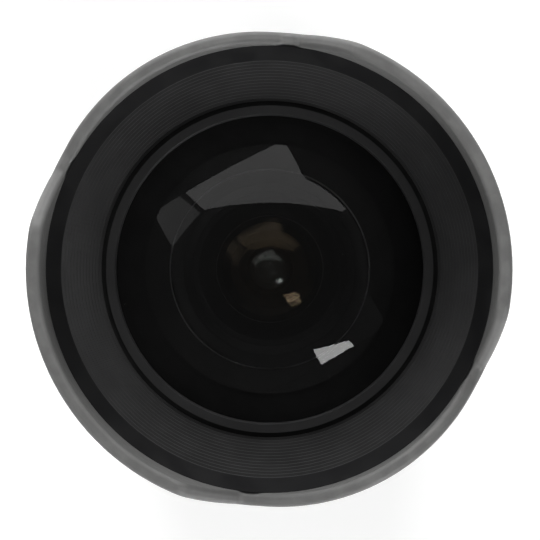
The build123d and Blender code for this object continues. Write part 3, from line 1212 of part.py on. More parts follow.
# Rear group: its barrel screws into the iris housing and keeps the actuator in
seventh_apex = iris_rear - SEVENTH_APEX
rear_cement = iris_rear - REAR_CEMENT_APEX
eighth_rear = iris_rear - EIGHTH_REAR
ninth_apex = iris_rear - NINTH_APEX
ninth_rear = iris_rear - NINTH_REAR
tenth_apex = iris_rear - TENTH_APEX
tenth_rear = iris_rear - TENTH_REAR
rear_glass_bore = REAR_GLASS_RADIUS + SEAT
last_glass_bore = LAST_GLASS_RADIUS + SEAT
rear_lip = seventh_apex - sag(SEVENTH_CURVE, REAR_LIP_BORE) + GLASS_TOUCH
rear_group_rim = iris_bore - REAR_GROUP_RIM_WALL
last_step = tenth_apex - sag(TENTH_CURVE, LAST_GLASS_RADIUS) + GLASS_TOUCH
with BuildPart() as rear_group_barrel:
    revolve(turned((last_glass_bore, cell_rear), (REAR_GROUP_RADIUS, cell_rear),
                   (REAR_GROUP_RADIUS, iris_rear - REAR_GROUP_FLANGE),
                   (iris_housing_radius, iris_rear - REAR_GROUP_FLANGE), (iris_housing_radius, iris_rear),
                   (iris_bore, iris_rear), (iris_bore, actuator_rear - FACE_GAP),
                   (rear_group_rim, actuator_rear - FACE_GAP), (rear_group_rim, iris_rear),
                   (REAR_LIP_BORE, iris_rear), (REAR_LIP_BORE, rear_lip), (rear_glass_bore, rear_lip),
                   (rear_glass_bore, last_step), (last_glass_bore, last_step)), axis=Axis.Z)

rear_group_barrel.part.label = "rear_group_barrel"
export_step(rear_group_barrel.part, "parts/rear_group_barrel.step")

with BuildPart() as seventh_element:
    revolve(lens_section(seventh_apex, SEVENTH_CURVE, rear_cement, REAR_CEMENT_CURVE, REAR_GLASS_RADIUS),
            axis=Axis.Z)

seventh_element.part.label = "seventh_element"
export_step(seventh_element.part, "parts/seventh_element.step")

with BuildPart() as eighth_element:
    revolve(lens_section(rear_cement, REAR_CEMENT_CURVE, eighth_rear, EIGHTH_REAR_CURVE, REAR_GLASS_RADIUS),
            axis=Axis.Z)

eighth_element.part.label = "eighth_element"
export_step(eighth_element.part, "parts/eighth_element.step")

with BuildPart() as rear_spacer:
    revolve(band(REAR_SPACER_BORE, REAR_GLASS_RADIUS,
                 ninth_apex - sag(NINTH_CURVE, REAR_SPACER_BORE) + GLASS_TOUCH,
                 eighth_rear - sag(EIGHTH_REAR_CURVE, REAR_GLASS_RADIUS) - GLASS_TOUCH), axis=Axis.Z)

rear_spacer.part.label = "rear_spacer"
export_step(rear_spacer.part, "parts/rear_spacer.step")

with BuildPart() as ninth_element:
    revolve(lens_section(ninth_apex, NINTH_CURVE, ninth_rear, NINTH_REAR_CURVE, REAR_GLASS_RADIUS),
            axis=Axis.Z)

ninth_element.part.label = "ninth_element"
export_step(ninth_element.part, "parts/ninth_element.step")

with BuildPart() as tenth_element:
    revolve(lens_section(tenth_apex, TENTH_CURVE, tenth_rear, TENTH_REAR_CURVE, LAST_GLASS_RADIUS),
            axis=Axis.Z)

tenth_element.part.label = "tenth_element"
export_step(tenth_element.part, "parts/tenth_element.step")

with BuildPart() as rear_ring:
    revolve(band(REAR_RING_BORE, last_glass_bore, cell_rear + GAP,
                 tenth_rear - sag(TENTH_REAR_CURVE, REAR_RING_BORE) - GLASS_TOUCH), axis=Axis.Z)

rear_ring.part.label = "rear_ring"
export_step(rear_ring.part, "parts/rear_ring.step")
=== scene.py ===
import json
from math import atan2, copysign, cos, hypot, pi, radians, sin, sqrt

import bmesh
import bpy
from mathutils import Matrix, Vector

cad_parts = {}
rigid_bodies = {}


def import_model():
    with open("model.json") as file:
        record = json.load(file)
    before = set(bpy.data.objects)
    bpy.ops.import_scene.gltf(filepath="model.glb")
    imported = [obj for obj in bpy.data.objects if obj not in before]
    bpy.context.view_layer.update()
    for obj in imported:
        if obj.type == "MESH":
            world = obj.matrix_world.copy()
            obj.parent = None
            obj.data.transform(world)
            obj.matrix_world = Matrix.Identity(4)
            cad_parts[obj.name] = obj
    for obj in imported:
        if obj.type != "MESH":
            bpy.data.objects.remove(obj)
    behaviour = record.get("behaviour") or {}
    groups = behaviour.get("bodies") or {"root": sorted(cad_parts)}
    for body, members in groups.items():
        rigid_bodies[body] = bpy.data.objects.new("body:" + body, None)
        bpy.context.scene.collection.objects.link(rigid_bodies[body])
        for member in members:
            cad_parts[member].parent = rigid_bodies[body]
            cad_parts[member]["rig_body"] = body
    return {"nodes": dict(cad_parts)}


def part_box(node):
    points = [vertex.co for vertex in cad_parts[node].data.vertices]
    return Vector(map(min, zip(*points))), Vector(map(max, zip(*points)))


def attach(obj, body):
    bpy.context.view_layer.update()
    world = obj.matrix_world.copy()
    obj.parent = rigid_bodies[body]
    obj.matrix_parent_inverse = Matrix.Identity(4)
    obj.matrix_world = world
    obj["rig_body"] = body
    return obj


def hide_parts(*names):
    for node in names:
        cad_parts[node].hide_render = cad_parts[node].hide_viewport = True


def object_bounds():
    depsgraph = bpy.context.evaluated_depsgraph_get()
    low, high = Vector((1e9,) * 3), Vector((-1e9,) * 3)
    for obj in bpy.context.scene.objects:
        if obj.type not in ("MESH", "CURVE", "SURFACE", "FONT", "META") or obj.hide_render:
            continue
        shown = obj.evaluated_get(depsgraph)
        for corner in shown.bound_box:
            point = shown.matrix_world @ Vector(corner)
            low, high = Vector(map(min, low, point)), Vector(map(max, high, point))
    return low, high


# The looks of a wide-angle prime lens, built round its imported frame.
# Metres and radians, unless a name says otherwise. +Z runs forward along the optical axis.

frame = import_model()
nodes = frame["nodes"]
cad_low, cad_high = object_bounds()

MM = 0.001

# Camera: it looks into the lens, with the image turned round the optical axis
CAMERA_HEIGHT = 567 * MM        # above the valleys of the hood's rim
CAMERA_RIGHT = 2.35 * MM        # off the optical axis, in the image's directions
CAMERA_UP = 1.4 * MM
AIM_RIGHT = 0.11 * MM           # where it aims, on the level of the valleys
AIM_UP = -0.13 * MM
IMAGE_TURN = radians(61)        # from the frame's +X to the image's right
CAMERA_LENS = 206.3             # millimetres
SENSOR_WIDTH = 36.0             # millimetres
CLIP_START = 10 * MM

# Sky: its strength at the horizon and overhead, and how far up the horizon reaches
HORIZON_LIGHT = 0.18
CEILING_LIGHT = 0.22
HORIZON_RISE = 0.6

# Floor
FLOOR_SIZE = 60.0
FLOOR_CELLS = 8
FLOOR_GLOW = 0.34               # added to what the camera, a gloss or glass sees of it

# Lamps are upright panels. Each has its two ends in plan, along the image's right and up,
# then its lower and upper edge above the floor, and its radiance.
# The mirrored ones show only in gloss and glass. The fills light only matt surfaces.
WALL_HEIGHT = 1.03
MIRRORED_LAMPS = {
    "long_wall": ((-0.67, 0.6), (0.76, 0.6), 0.0, WALL_HEIGHT, 2.3),
    "side_wall": ((-1.26, 0.08), (-0.71, 0.57), 0.0, WALL_HEIGHT, 0.95),
    "window": ((0.32, -0.6), (0.66, -0.6), 0.46, 0.76, 18.0),
}
FILL_LAMPS = {
    "top_fill": ((-0.35, 0.85), (0.22, 0.9), 0.1, 0.7, 11.0),
    "left_fill": ((-0.95, -0.25), (-0.55, -0.8), 0.2, 0.7, 4.5),
    "right_fill": ((0.1, -1.0), (0.65, -0.75), 0.2, 0.7, 11.0),
}

# Levels and radii of the frame that the marks and the finishes follow
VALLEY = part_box("hood_liner")[1].z
GRIP_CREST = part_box("focus_grip")[1].x
APERTURE_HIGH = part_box("aperture_ring")[1]
INDEX_LOW, INDEX_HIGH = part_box("index_barrel")
FOCUS_LOW, FOCUS_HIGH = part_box("focus_ring")

# Aperture scale. A mark stands at the index when its ring is turned to it.
INDEX_ANGLE = radians(90)
STOPS = ("2.8", "4", "5.6", "8", "11", "16", "22")
STOP_STEP = radians(7)
STOP_SIZE = 2.5 * MM
STOP_DROP = 3.0 * MM            # from the aperture ring's front edge to its numbers

# Distance scales
FOCUS_TURN = radians(110)
FOCUS_TRAVEL = 2.4 * MM
FOCUS_POWER = 196 * MM * MM     # the focus cell's travel times the distance from its focal plane
FOCUS_DATUM = 198 * MM          # from the distance's datum to the lens's front focal point
FOOT = 304.8 * MM
METRE_MARKS = ("2", "1", "0.7", "0.5", "0.4", "0.3")
FOOT_MARKS = ("7", "3", "2", "1.3", "1")
DISTANCE_SIZE = 2.1 * MM
INFINITY_SIZE = 3.4 * MM
METRE_ROW = 2.5 * MM            # rows, from the focus ring's rear edge
FOOT_ROW = 5.4 * MM
TICK_ROW = 0.75 * MM
TICK_LENGTH = 0.8 * MM
UNIT_SPACE = radians(5)         # from the end of a distance scale to its unit

# Index line and depth-of-field scale
DEPTH_MARKS = (("8", 11.0), ("11", 15.1), ("16", 22.0), ("22", 30.2))   # stop, degrees from the index
DEPTH_SIZE = 1.9 * MM
DEPTH_DROP = 3.6 * MM           # from the index barrel's front edge to its numbers
DEPTH_LINE_DROP = 1.2 * MM
DEPTH_LINE_LENGTH = 1.5 * MM
INDEX_WIDTH = 0.5 * MM
INDEX_MARGIN = 0.6 * MM         # bare barrel at each end of the index line
FINE_WIDTH = 0.22 * MM

# How a mark sits on its ring
MARK_DEPTH = 0.05 * MM          # proud of the ring
MARK_SINK = 0.03 * MM           # below its surface
MARK_HEIGHT = MARK_DEPTH + MARK_SINK
MARK_EASE = 0.4 * MARK_DEPTH    # eased off a bar's upper edges
LETTER_STEPS = 4
MERGE = 1e-7

# Turned pieces
LATHE_STEPS = 144
ARC_STEPS = 28
TOUCH = 0.01 * MM
FILM = TOUCH / 2                # by which a dressed front face and edge stay inside the solid's
FLAT_RIM = 1 * MM               # a rear rim wider than this has a ground bevel at its inner edge
BEVEL_WIDTH = 0.11 * MM
FRONT_FACE, REAR_FACE, EDGE, BEVEL = range(4)   # material numbers of a lens element

# Hood and liner. The liner is a smooth band over a stepped cone.
HOOD_FOOT = VALLEY - 18 * MM    # where the hood's paint begins to get paler towards the rim: painted light on the rim and the petals' inner walls
HOOD_RIM = VALLEY + 2 * MM
BAND_EDGE = VALLEY - 3 * MM
BAND_BLUR = 0.2 * MM            # half the height over which the band gives way to the cone
LINER_LEAN = 1.1                # how steeply the liner's turning marks face the axis, as a slope

# Spans that noise mostly stays in
NARROW = (0.3, 0.7)
MIDDLE = (0.25, 0.75)
WIDE = (0.2, 0.8)


# Small helpers for node trees
class Graph:
    """One material's node tree, with short calls for the nodes that the finishes use."""

    def __init__(self, name):
        self.material = bpy.data.materials.new(name)
        self.material.use_nodes = True
        self.tree = self.material.node_tree
        self.tree.nodes.clear()
        self.output = self.node("ShaderNodeOutputMaterial")
        self.place = self.node("ShaderNodeTexCoord").outputs["Object"]

    def node(self, kind, **settings):
        """A new node with its settings."""
        made = self.tree.nodes.new(kind)
        for key, value in settings.items():
            setattr(made, key, value)
        return made

    def put(self, socket, value):
        """Links another node's output to a socket, or writes a plain value on it."""
        if isinstance(value, bpy.types.NodeSocket):
            self.tree.links.new(value, socket)
        else:
            socket.default_value = value

    def math(self, operation, first, second=0.0):
        """One step of arithmetic."""
        made = self.node("ShaderNodeMath", operation=operation)
        self.put(made.inputs[0], first)
        self.put(made.inputs[1], second)
        return made.outputs[0]

    def ramp(self, value, low, high, first=0.0, second=1.0):
        """Eases from the first number to the second while the value goes from low to high."""
        made = self.node("ShaderNodeMapRange", interpolation_type="SMOOTHSTEP")
        for socket, given in zip(made.inputs, (value, low, high, first, second)):
            self.put(socket, given)
        return made.outputs[0]

    def noise(self, size, detail=2.0, place=None):
        """Noise with features of about this size."""
        made = self.node("ShaderNodeTexNoise")
        self.put(made.inputs["Vector"], place if place else self.place)
        self.put(made.inputs["Scale"], 1 / size)
        self.put(made.inputs["Detail"], detail)
        return made.outputs["Fac"]

    def split(self):
        """The three coordinates of the place."""
        made = self.node("ShaderNodeSeparateXYZ")
        self.put(made.inputs[0], self.place)
        return made.outputs

    def level(self):
        """How far forward the place is along the axis."""
        return self.split()[2]

    def radius(self):
        """How far the place is from the axis."""
        x, y = self.split()[:2]
        square = self.math("ADD", self.math("MULTIPLY", x, x), self.math("MULTIPLY", y, y))
        return self.math("SQRT", square)

    def turned_place(self, around=0.0):
        """Coordinates in which noise becomes the fine rings that a lathe leaves.

        With metres of noise around the axis per radian, the rings break up into arcs."""
        x, y, z = self.split()
        turn = self.math("MULTIPLY", self.math("ARCTAN2", y, x), around)
        joined = self.node("ShaderNodeCombineXYZ")
        for socket, value in zip(joined.inputs, (self.radius(), z, turn)):
            self.put(socket, value)
        return joined.outputs[0]

    def colour(self, share, first, second):
        """The first colour, with this share of the second one."""
        made = self.node("ShaderNodeMix", data_type="RGBA")
        self.put(made.inputs["Factor"], share)
        for socket, value in zip((made.inputs[6], made.inputs[7]), (first, second)):
            self.put(socket, (*value, 1.0) if isinstance(value, tuple) else value)
        return made.outputs[2]

    def bump(self, height, depth, before=None):
        """A normal with relief of this depth, over an earlier normal if there is one."""
        made = self.node("ShaderNodeBump")
        self.put(made.inputs["Height"], height)
        self.put(made.inputs["Distance"], depth)
        self.put(made.inputs["Strength"], 1.0)
        if before:
            self.put(made.inputs["Normal"], before)
        return made.outputs[0]

    def specks(self, spacing, size, share):
        """1 on scattered specks of dust, 0 elsewhere."""
        cells = self.node("ShaderNodeTexVoronoi", feature="F1")
        self.put(cells.inputs["Vector"], self.place)
        self.put(cells.inputs["Scale"], 1 / spacing)
        near = self.ramp(cells.outputs["Distance"], size / spacing, size * 0.5 / spacing)
        drawn = self.node("ShaderNodeSeparateColor")
        self.put(drawn.inputs[0], cells.outputs["Color"])
        return self.math("MULTIPLY", near, self.math("LESS_THAN", drawn.outputs[0], share))

    def surface(self, **sockets):
        """The shader, with a value or a linked output for each named socket."""
        shader = self.node("ShaderNodeBsdfPrincipled")
        for key, value in sockets.items():
            socket = shader.inputs[key.replace("_", " ")]
            self.put(socket, (*value, 1.0) if isinstance(value, tuple) and len(value) == 3 else value)
        return shader.outputs[0]

    def finish(self, shader):
        """The material, once its shader is in place."""
        self.put(self.output.inputs["Surface"], shader)
        return self.material


# Finishes
def satin_black(name, dark, light, roughness, grain, depth, dust=0.0, specular=0.5, turned=0.0):
    """Anodised or painted metal: an even grain, faint clouds, and dust where it is asked for."""
    graph = Graph(name)
    clouds = graph.noise(6 * MM, 3.0)
    fine = graph.noise(grain, 2.0)
    base = graph.colour(graph.ramp(clouds, *NARROW), dark, light)
    rough = graph.ramp(graph.noise(2.5 * MM, 4.0), *MIDDLE, roughness - 0.05, roughness + 0.07)
    if dust:
        specks = graph.specks(2.2 * MM, 0.11 * MM, dust)
        base = graph.colour(specks, base, (0.42, 0.42, 0.4))
        rough = graph.math("MAXIMUM", rough, specks)
    normal = graph.bump(fine, depth)
    if turned:
        rings = graph.noise(0.12 * MM, 1.0, graph.turned_place())
        normal = graph.bump(rings, turned, normal)
    return graph.finish(graph.surface(Base_Color=base, Roughness=rough, Normal=normal,
                                      Specular_IOR_Level=specular))


def hood_finish():
    """Semi-matt paint, painted paler towards the rim as painted light on the rim and the petals' inner
    walls. Upward-facing crests near the rim are a little paler and smoother still: patchy wear, and a
    painted highlight.
    """
    foot_grey, lit_rim_grey = (0.068, 0.068, 0.067), (0.112, 0.112, 0.110)
    cloud_grey, worn_and_lit_grey, dust_grey = (0.2, 0.2, 0.2), (0.150, 0.150, 0.147), (0.5, 0.5, 0.48)
    graph = Graph("hood_black")
    level = graph.level()
    clouds = graph.noise(9 * MM, 4.0)
    grain = graph.noise(0.16 * MM, 2.0)
    # painted light: the paint is paler towards the rim, where the rim and the petals' inner walls catch
    # the light
    base = graph.colour(graph.ramp(level, HOOD_FOOT, HOOD_RIM), foot_grey, lit_rim_grey)
    base = graph.colour(graph.ramp(clouds, *NARROW, 0.0, 0.06), base, cloud_grey)
    facing = graph.node("ShaderNodeSeparateXYZ")
    graph.put(facing.inputs[0], graph.node("ShaderNodeNewGeometry").outputs["Normal"])
    # upward-facing crests near the rim: patchy wear, and a painted highlight where light falls on them
    # from above
    crest = graph.math("MULTIPLY", graph.ramp(facing.outputs[2], 0.7, 0.99),
                       graph.ramp(level, VALLEY - 10 * MM, VALLEY - 1 * MM))
    worn_and_lit = graph.math("MULTIPLY", crest, graph.ramp(graph.noise(3.5 * MM, 5.0), 0.35, 0.7))
    base = graph.colour(worn_and_lit, base, worn_and_lit_grey)
    specks = graph.specks(3.2 * MM, 0.14 * MM, 0.16)
    base = graph.colour(specks, base, dust_grey)
    rough = graph.math("SUBTRACT", graph.ramp(graph.noise(1.6 * MM, 4.0), *MIDDLE, 0.46, 0.58),
                       graph.math("MULTIPLY", worn_and_lit, 0.06))
    rough = graph.math("MAXIMUM", rough, specks)
    normal = graph.bump(grain, 0.012 * MM)
    return graph.finish(graph.surface(Base_Color=base, Roughness=rough, Normal=normal))


def liner_finish():
    """Flat anti-reflection paint, almost without a sheen. The cone is painted blacker towards the glass,
    as painted shade deep in the hood.
    """
    deep_shade_grey, cone_grey, band_grey = (0.024, 0.024, 0.0245), (0.046, 0.046, 0.047), (0.009, 0.009, 0.0095)
    cloud_grey, dust_grey = (0.034, 0.034, 0.034), (0.14, 0.14, 0.14)
    cone_sheen, band_sheen = 0.35, 0.12
    graph = Graph("liner_black")
    level = graph.level()
    band = (BAND_EDGE - BAND_BLUR, BAND_EDGE + BAND_BLUR)
    clouds = graph.noise(5 * MM, 3.0)
    # painted shade: the cone darkens towards the glass, deep in the hood
    base = graph.colour(graph.ramp(level, VALLEY - 16 * MM, VALLEY - 4 * MM), deep_shade_grey, cone_grey)
    base = graph.colour(graph.ramp(level, *band), base, band_grey)
    base = graph.colour(graph.ramp(clouds, *NARROW, 0.0, 0.2), base, cloud_grey)
    specks = graph.specks(3.6 * MM, 0.08 * MM, 0.12)
    base = graph.colour(specks, base, dust_grey)
    normal = graph.bump(graph.noise(0.1 * MM, 3.0), 0.02 * MM)
    normal = graph.bump(graph.radius(), LINER_LEAN, normal)
    sheen = graph.ramp(level, *band, cone_sheen, band_sheen)
    return graph.finish(graph.surface(Base_Color=base, Roughness=graph.ramp(clouds, *WIDE, 0.72, 0.86),
                                      Normal=normal, Specular_IOR_Level=sheen))


def rubber_finish():
    """Moulded rubber, with dust in the valleys between its ribs."""
    graph = Graph("grip_rubber")
    valley = graph.ramp(graph.radius(), GRIP_CREST - 0.75 * MM, GRIP_CREST - 0.2 * MM, 1.0, 0.0)
    clouds = graph.noise(3 * MM, 4.0)
    base = graph.colour(graph.ramp(clouds, *NARROW), (0.020, 0.020, 0.021), (0.030, 0.030, 0.030))
    dusty = graph.math("MULTIPLY", valley, graph.ramp(clouds, 0.4, 0.75))
    base = graph.colour(graph.math("MULTIPLY", dusty, 0.5), base, (0.11, 0.108, 0.10))
    specks = graph.specks(1.6 * MM, 0.07 * MM, 0.1)
    base = graph.colour(specks, base, (0.26, 0.26, 0.25))
    stipple = graph.noise(0.14 * MM, 3.0)
    normal = graph.bump(stipple, 0.03 * MM)
    return graph.finish(graph.surface(Base_Color=base, Roughness=graph.ramp(clouds, *WIDE, 0.62, 0.8),
                                      Normal=normal, Specular_IOR_Level=0.4))


def metal_finish(name, dark, light, roughness, ring_depth, scratches=0.0):
    """Bare or plated metal with the fine rings of the lathe and, where asked for, rubbed arcs."""
    graph = Graph(name)
    rings = graph.noise(0.09 * MM, 2.0, graph.turned_place(0.6 * MM))
    broad = graph.noise(1.8 * MM, 3.0, graph.turned_place(4 * MM))
    base = graph.colour(graph.ramp(broad, *NARROW), dark, light)
    rough = graph.ramp(rings, *MIDDLE, roughness - 0.06, roughness + 0.08)
    if scratches:
        arcs = graph.noise(0.35 * MM, 4.0, graph.turned_place(1.2 * MM))
        worn = graph.math("MULTIPLY", graph.ramp(arcs, 0.6, 0.68), scratches)
        base = graph.colour(worn, base, (0.86, 0.85, 0.83))
        rough = graph.math("ADD", rough, graph.math("MULTIPLY", worn, 0.12))
    normal = graph.bump(rings, ring_depth)
    normal = graph.bump(graph.noise(0.2 * MM, 2.0), ring_depth * 0.5, normal)
    return graph.finish(graph.surface(Base_Color=base, Metallic=1.0, Roughness=rough, Normal=normal))


def paint_finish(name, thin, full, roughness=0.5):
    """Filled-in paint of the marks, slightly uneven."""
    graph = Graph(name)
    base = graph.colour(graph.ramp(graph.noise(0.5 * MM, 3.0), 0.3, 0.6), thin, full)
    normal = graph.bump(graph.noise(0.1 * MM, 2.0), 0.008 * MM)
    rough = graph.ramp(graph.noise(1 * MM), *NARROW, roughness - 0.06, roughness + 0.08)
    return graph.finish(graph.surface(Base_Color=base, Normal=normal, Roughness=rough))


def glass_finish(name, tint, coating, index):
    """Coated glass. Lamps shine through it, so that the barrel behind it is lit."""
    graph = Graph(name)
    smudge = graph.noise(7 * MM, 3.0)
    body = graph.colour(graph.ramp(smudge, *NARROW), tint, tuple(value * 0.9 for value in tint))
    specks = graph.specks(4.0 * MM, 0.07 * MM, 0.16)
    shader = graph.surface(Base_Color=body, Roughness=graph.math("MULTIPLY", specks, 0.4),
                           Transmission_Weight=1.0, IOR=index, Specular_Tint=coating)
    through = graph.node("ShaderNodeBsdfTransparent")
    graph.put(through.inputs["Color"], (0.9, 0.9, 0.9, 1.0))
    mixed = graph.node("ShaderNodeMixShader")
    graph.put(mixed.inputs[0], graph.node("ShaderNodeLightPath").outputs["Is Shadow Ray"])
    graph.put(mixed.inputs[1], shader)
    graph.put(mixed.inputs[2], through.outputs[0])
    return graph.finish(mixed.outputs[0])


def floor_finish():
    """A pale sheet. What the camera, a gloss or glass sees of it is a little brighter."""
    graph = Graph("floor_sheet")
    clouds = graph.noise(0.4, 3.0)
    base = graph.colour(clouds, (0.80, 0.80, 0.80), (0.84, 0.84, 0.835))
    path = graph.node("ShaderNodeLightPath").outputs
    seen = graph.math("MAXIMUM", path["Is Camera Ray"], path["Is Glossy Ray"])
    seen = graph.math("MAXIMUM", seen, path["Is Transmission Ray"])
    return graph.finish(graph.surface(Base_Color=base, Roughness=0.9, Specular_IOR_Level=0.2,
                                      Emission_Color=(1.0, 1.0, 1.0),
                                      Emission_Strength=graph.math("MULTIPLY", seen, FLOOR_GLOW)))


def dress_nodes():
    """Every carried-over node gets the finish of its slot, and two nodes get one of their own."""
    finishes = {
        "inner_black": satin_black("inner_black", (0.012, 0.012, 0.012), (0.018, 0.018, 0.018), 0.62,
                                   0.14 * MM, 0.006 * MM, turned=0.010 * MM, specular=0.4),
        "barrel_black": satin_black("barrel_black", (0.030, 0.030, 0.031), (0.040, 0.040, 0.041), 0.42,
                                    0.11 * MM, 0.010 * MM, dust=0.05),
        "mount_chrome": metal_finish("mount_chrome", (0.60, 0.59, 0.57), (0.74, 0.73, 0.71), 0.26,
                                     0.004 * MM, 0.5),
        "steel": metal_finish("steel", (0.42, 0.42, 0.43), (0.56, 0.56, 0.57), 0.30, 0.004 * MM),
        "black_steel": metal_finish("black_steel", (0.045, 0.045, 0.05), (0.08, 0.08, 0.085), 0.38,
                                    0.004 * MM),
        "red_dot": paint_finish("red_dot", (0.42, 0.02, 0.015), (0.62, 0.03, 0.02), 0.35),
        "baffle_black": satin_black("baffle_black", (0.014, 0.014, 0.015), (0.022, 0.022, 0.023), 0.58,
                                    0.2 * MM, 0.02 * MM, dust=0.04),
        "bare_aluminium": metal_finish("bare_aluminium", (0.62, 0.63, 0.64), (0.76, 0.77, 0.78), 0.34,
                                       0.006 * MM),
        "brass": metal_finish("brass", (0.60, 0.42, 0.18), (0.74, 0.55, 0.26), 0.30, 0.005 * MM),
        "grip_rubber": rubber_finish(),
        "hood_black": hood_finish(),
        "liner_black": liner_finish(),
        "blade_black": metal_finish("blade_black", (0.03, 0.03, 0.032), (0.055, 0.055, 0.058), 0.46,
                                    0.003 * MM),
        "coated_glass": glass_finish("coated_glass", (0.7, 0.7, 0.7), (0.4, 0.4, 0.4), 1.6),
    }
    for node in nodes.values():
        for slot in node.material_slots:
            kind = slot.material.name.split(".")[0]
            if kind in finishes:
                slot.material = finishes[kind]
            else:
                raise ValueError(f"no finish for slot {kind} of {node.name}")
    nodes["front_retaining_ring"].material_slots[0].material = satin_black(
        "front_ring_black", (0.012, 0.012, 0.0125), (0.016, 0.016, 0.0165), 0.5, 0.12 * MM, 0.008 * MM,
        dust=0.04, turned=0.012 * MM, specular=0.35)
    nodes["front_housing"].material_slots[0].material = satin_black(
        "front_housing_black", (0.006, 0.006, 0.006), (0.010, 0.010, 0.010), 0.7, 0.14 * MM, 0.006 * MM,
        turned=0.010 * MM, specular=0.25)


# Turned pieces
def lathe(name, sections):
    """A surface of revolution from (material number, outline) sections that follow one another."""
    work = bmesh.new()

    def ring(radius, height):
        if radius < TOUCH:
            return [work.verts.new((0, 0, height))]
        return [work.verts.new((radius * cos(2 * pi * k / LATHE_STEPS),
                                radius * sin(2 * pi * k / LATHE_STEPS), height))
                for k in range(LATHE_STEPS)]

    previous = ring(*sections[0][1][0])
    joins = []
    for number, outline in sections:
        for point in outline[1:]:
            current = ring(*point)
            for k in range(LATHE_STEPS):
                following = (k + 1) % LATHE_STEPS
                corners = [previous[k % len(previous)], previous[following % len(previous)],
                           current[following % len(current)], current[k % len(current)]]
                face = work.faces.new(list(dict.fromkeys(corners)))
                face.material_index = number
                face.smooth = True
            previous = current
        joins.append(current)
    for join in joins:
        for k in range(len(join)):
            edge = work.edges.get((join[k], join[(k + 1) % len(join)])) if len(join) > 1 else None
            if edge:
                edge.smooth = False
    bmesh.ops.recalc_face_normals(work, faces=work.faces)
    mesh = bpy.data.meshes.new(name)
    work.to_mesh(mesh)
    work.free()
    piece = bpy.data.objects.new(name, mesh)
    bpy.context.scene.collection.objects.link(piece)
    return piece


def dome(apex, rim_radius, rim_height):
    """Points of a spherical face from the axis out to its rim."""
    fall = apex - rim_height
    if abs(fall) < TOUCH:
        return [(rim_radius * k / ARC_STEPS, apex) for k in range(ARC_STEPS + 1)]
    curve = (rim_radius ** 2 + fall ** 2) / (2 * fall)
    points = []
    for k in range(ARC_STEPS + 1):
        radius = rim_radius * k / ARC_STEPS
        points.append((radius, apex - curve + copysign(sqrt(curve ** 2 - radius ** 2), curve)))
    return points


def element_outline(node):
    """Rim radius, front apex and rim, rear rim, the hollow's edge and rear apex, read from the frame."""
    points = [(hypot(v.co.x, v.co.y), v.co.z) for v in nodes[node].data.vertices]
    rim = max(radius for radius, height in points)
    at_rim = [height for radius, height in points if radius > rim - TOUCH]
    on_axis = [height for radius, height in points if radius < TOUCH]
    front_rim, rear_rim = max(at_rim), min(at_rim)
    hollow = min(radius for radius, height in points if abs(height - rear_rim) < TOUCH)
    return rim, max(on_axis), front_rim, rear_rim, hollow, min(on_axis)


def make_element(node, front_coating, rear_coating, edge_paint, bevel):
    """A lens element: two coated faces, an edge painted black and a fine ground bevel."""
    rim, front, front_rim, rear_rim, hollow, rear = element_outline(node)
    front_face = [(radius, height - FILM) for radius, height in dome(front, rim, front_rim)]
    rear_face = dome(rear, hollow, rear_rim)
    rear_face.reverse()
    foot = (rim, rear_rim + FILM)
    sections = [(FRONT_FACE, front_face), (EDGE, [front_face[-1], foot])]
    if hollow < rim - FLAT_RIM:
        start = (hollow + BEVEL_WIDTH, rear_rim)
        (edge_radius, edge_height), (next_radius, next_height) = rear_face[:2]
        share = BEVEL_WIDTH / (edge_radius - next_radius)
        inner = (edge_radius - BEVEL_WIDTH, edge_height + share * (next_height - edge_height))
        sections.append((EDGE, [foot, start]))
        sections.append((BEVEL, [start, inner]))
        sections.append((REAR_FACE, [inner] + rear_face[1:]))
    else:
        sections.append((REAR_FACE, rear_face))
    piece = lathe(node + "_glass", sections)
    for finish in (front_coating, rear_coating, edge_paint, bevel):
        piece.data.materials.append(finish)
    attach(piece, nodes[node]["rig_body"])
    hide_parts(node)


def make_elements():
    """All ten elements, each with the coatings of its front and rear face."""
    neutral = glass_finish("coating_neutral", (0.22, 0.22, 0.22), (0.3, 0.3, 0.3), 1.55)
    amber = glass_finish("coating_amber", (0.7, 0.7, 0.68), (0.30, 0.22, 0.13), 1.6)
    clear = glass_finish("coating_clear", (0.75, 0.75, 0.75), (1.0, 1.0, 1.0), 1.9)
    green = glass_finish("coating_green", (0.7, 0.74, 0.72), (0.30, 0.55, 0.42), 1.6)
    violet = glass_finish("coating_violet", (0.7, 0.7, 0.74), (0.42, 0.34, 0.62), 1.6)
    paint = satin_black("edge_paint", (0.010, 0.010, 0.010), (0.014, 0.014, 0.014), 0.7,
                        0.15 * MM, 0.004 * MM, specular=0.2)
    bevel = satin_black("ground_bevel", (0.16, 0.16, 0.16), (0.24, 0.24, 0.24), 0.8,
                        0.05 * MM, 0.01 * MM)
    coatings = {
        "front_element": (neutral, amber),
        "second_element": (amber, clear),
        "third_element": (green, clear),
        "fourth_element": (violet, clear),
        "fifth_element": (clear, green),
        "sixth_element": (amber, violet),
        "seventh_element": (green, clear),
        "eighth_element": (clear, amber),
        "ninth_element": (violet, green),
        "tenth_element": (green, violet),
    }
    for node, (front, rear) in coatings.items():
        make_element(node, front, rear, paint, bevel)


# Marks
def wrap(work, radius, angle, height):
    """Bends flat work round the barrel: x runs round it, y along the axis and z stands out."""
    for vertex in work.verts:
        x, y, z = vertex.co
        at = angle + x / radius
        out = radius - MARK_SINK + z
        vertex.co = (out * cos(at), out * sin(at), height + y)


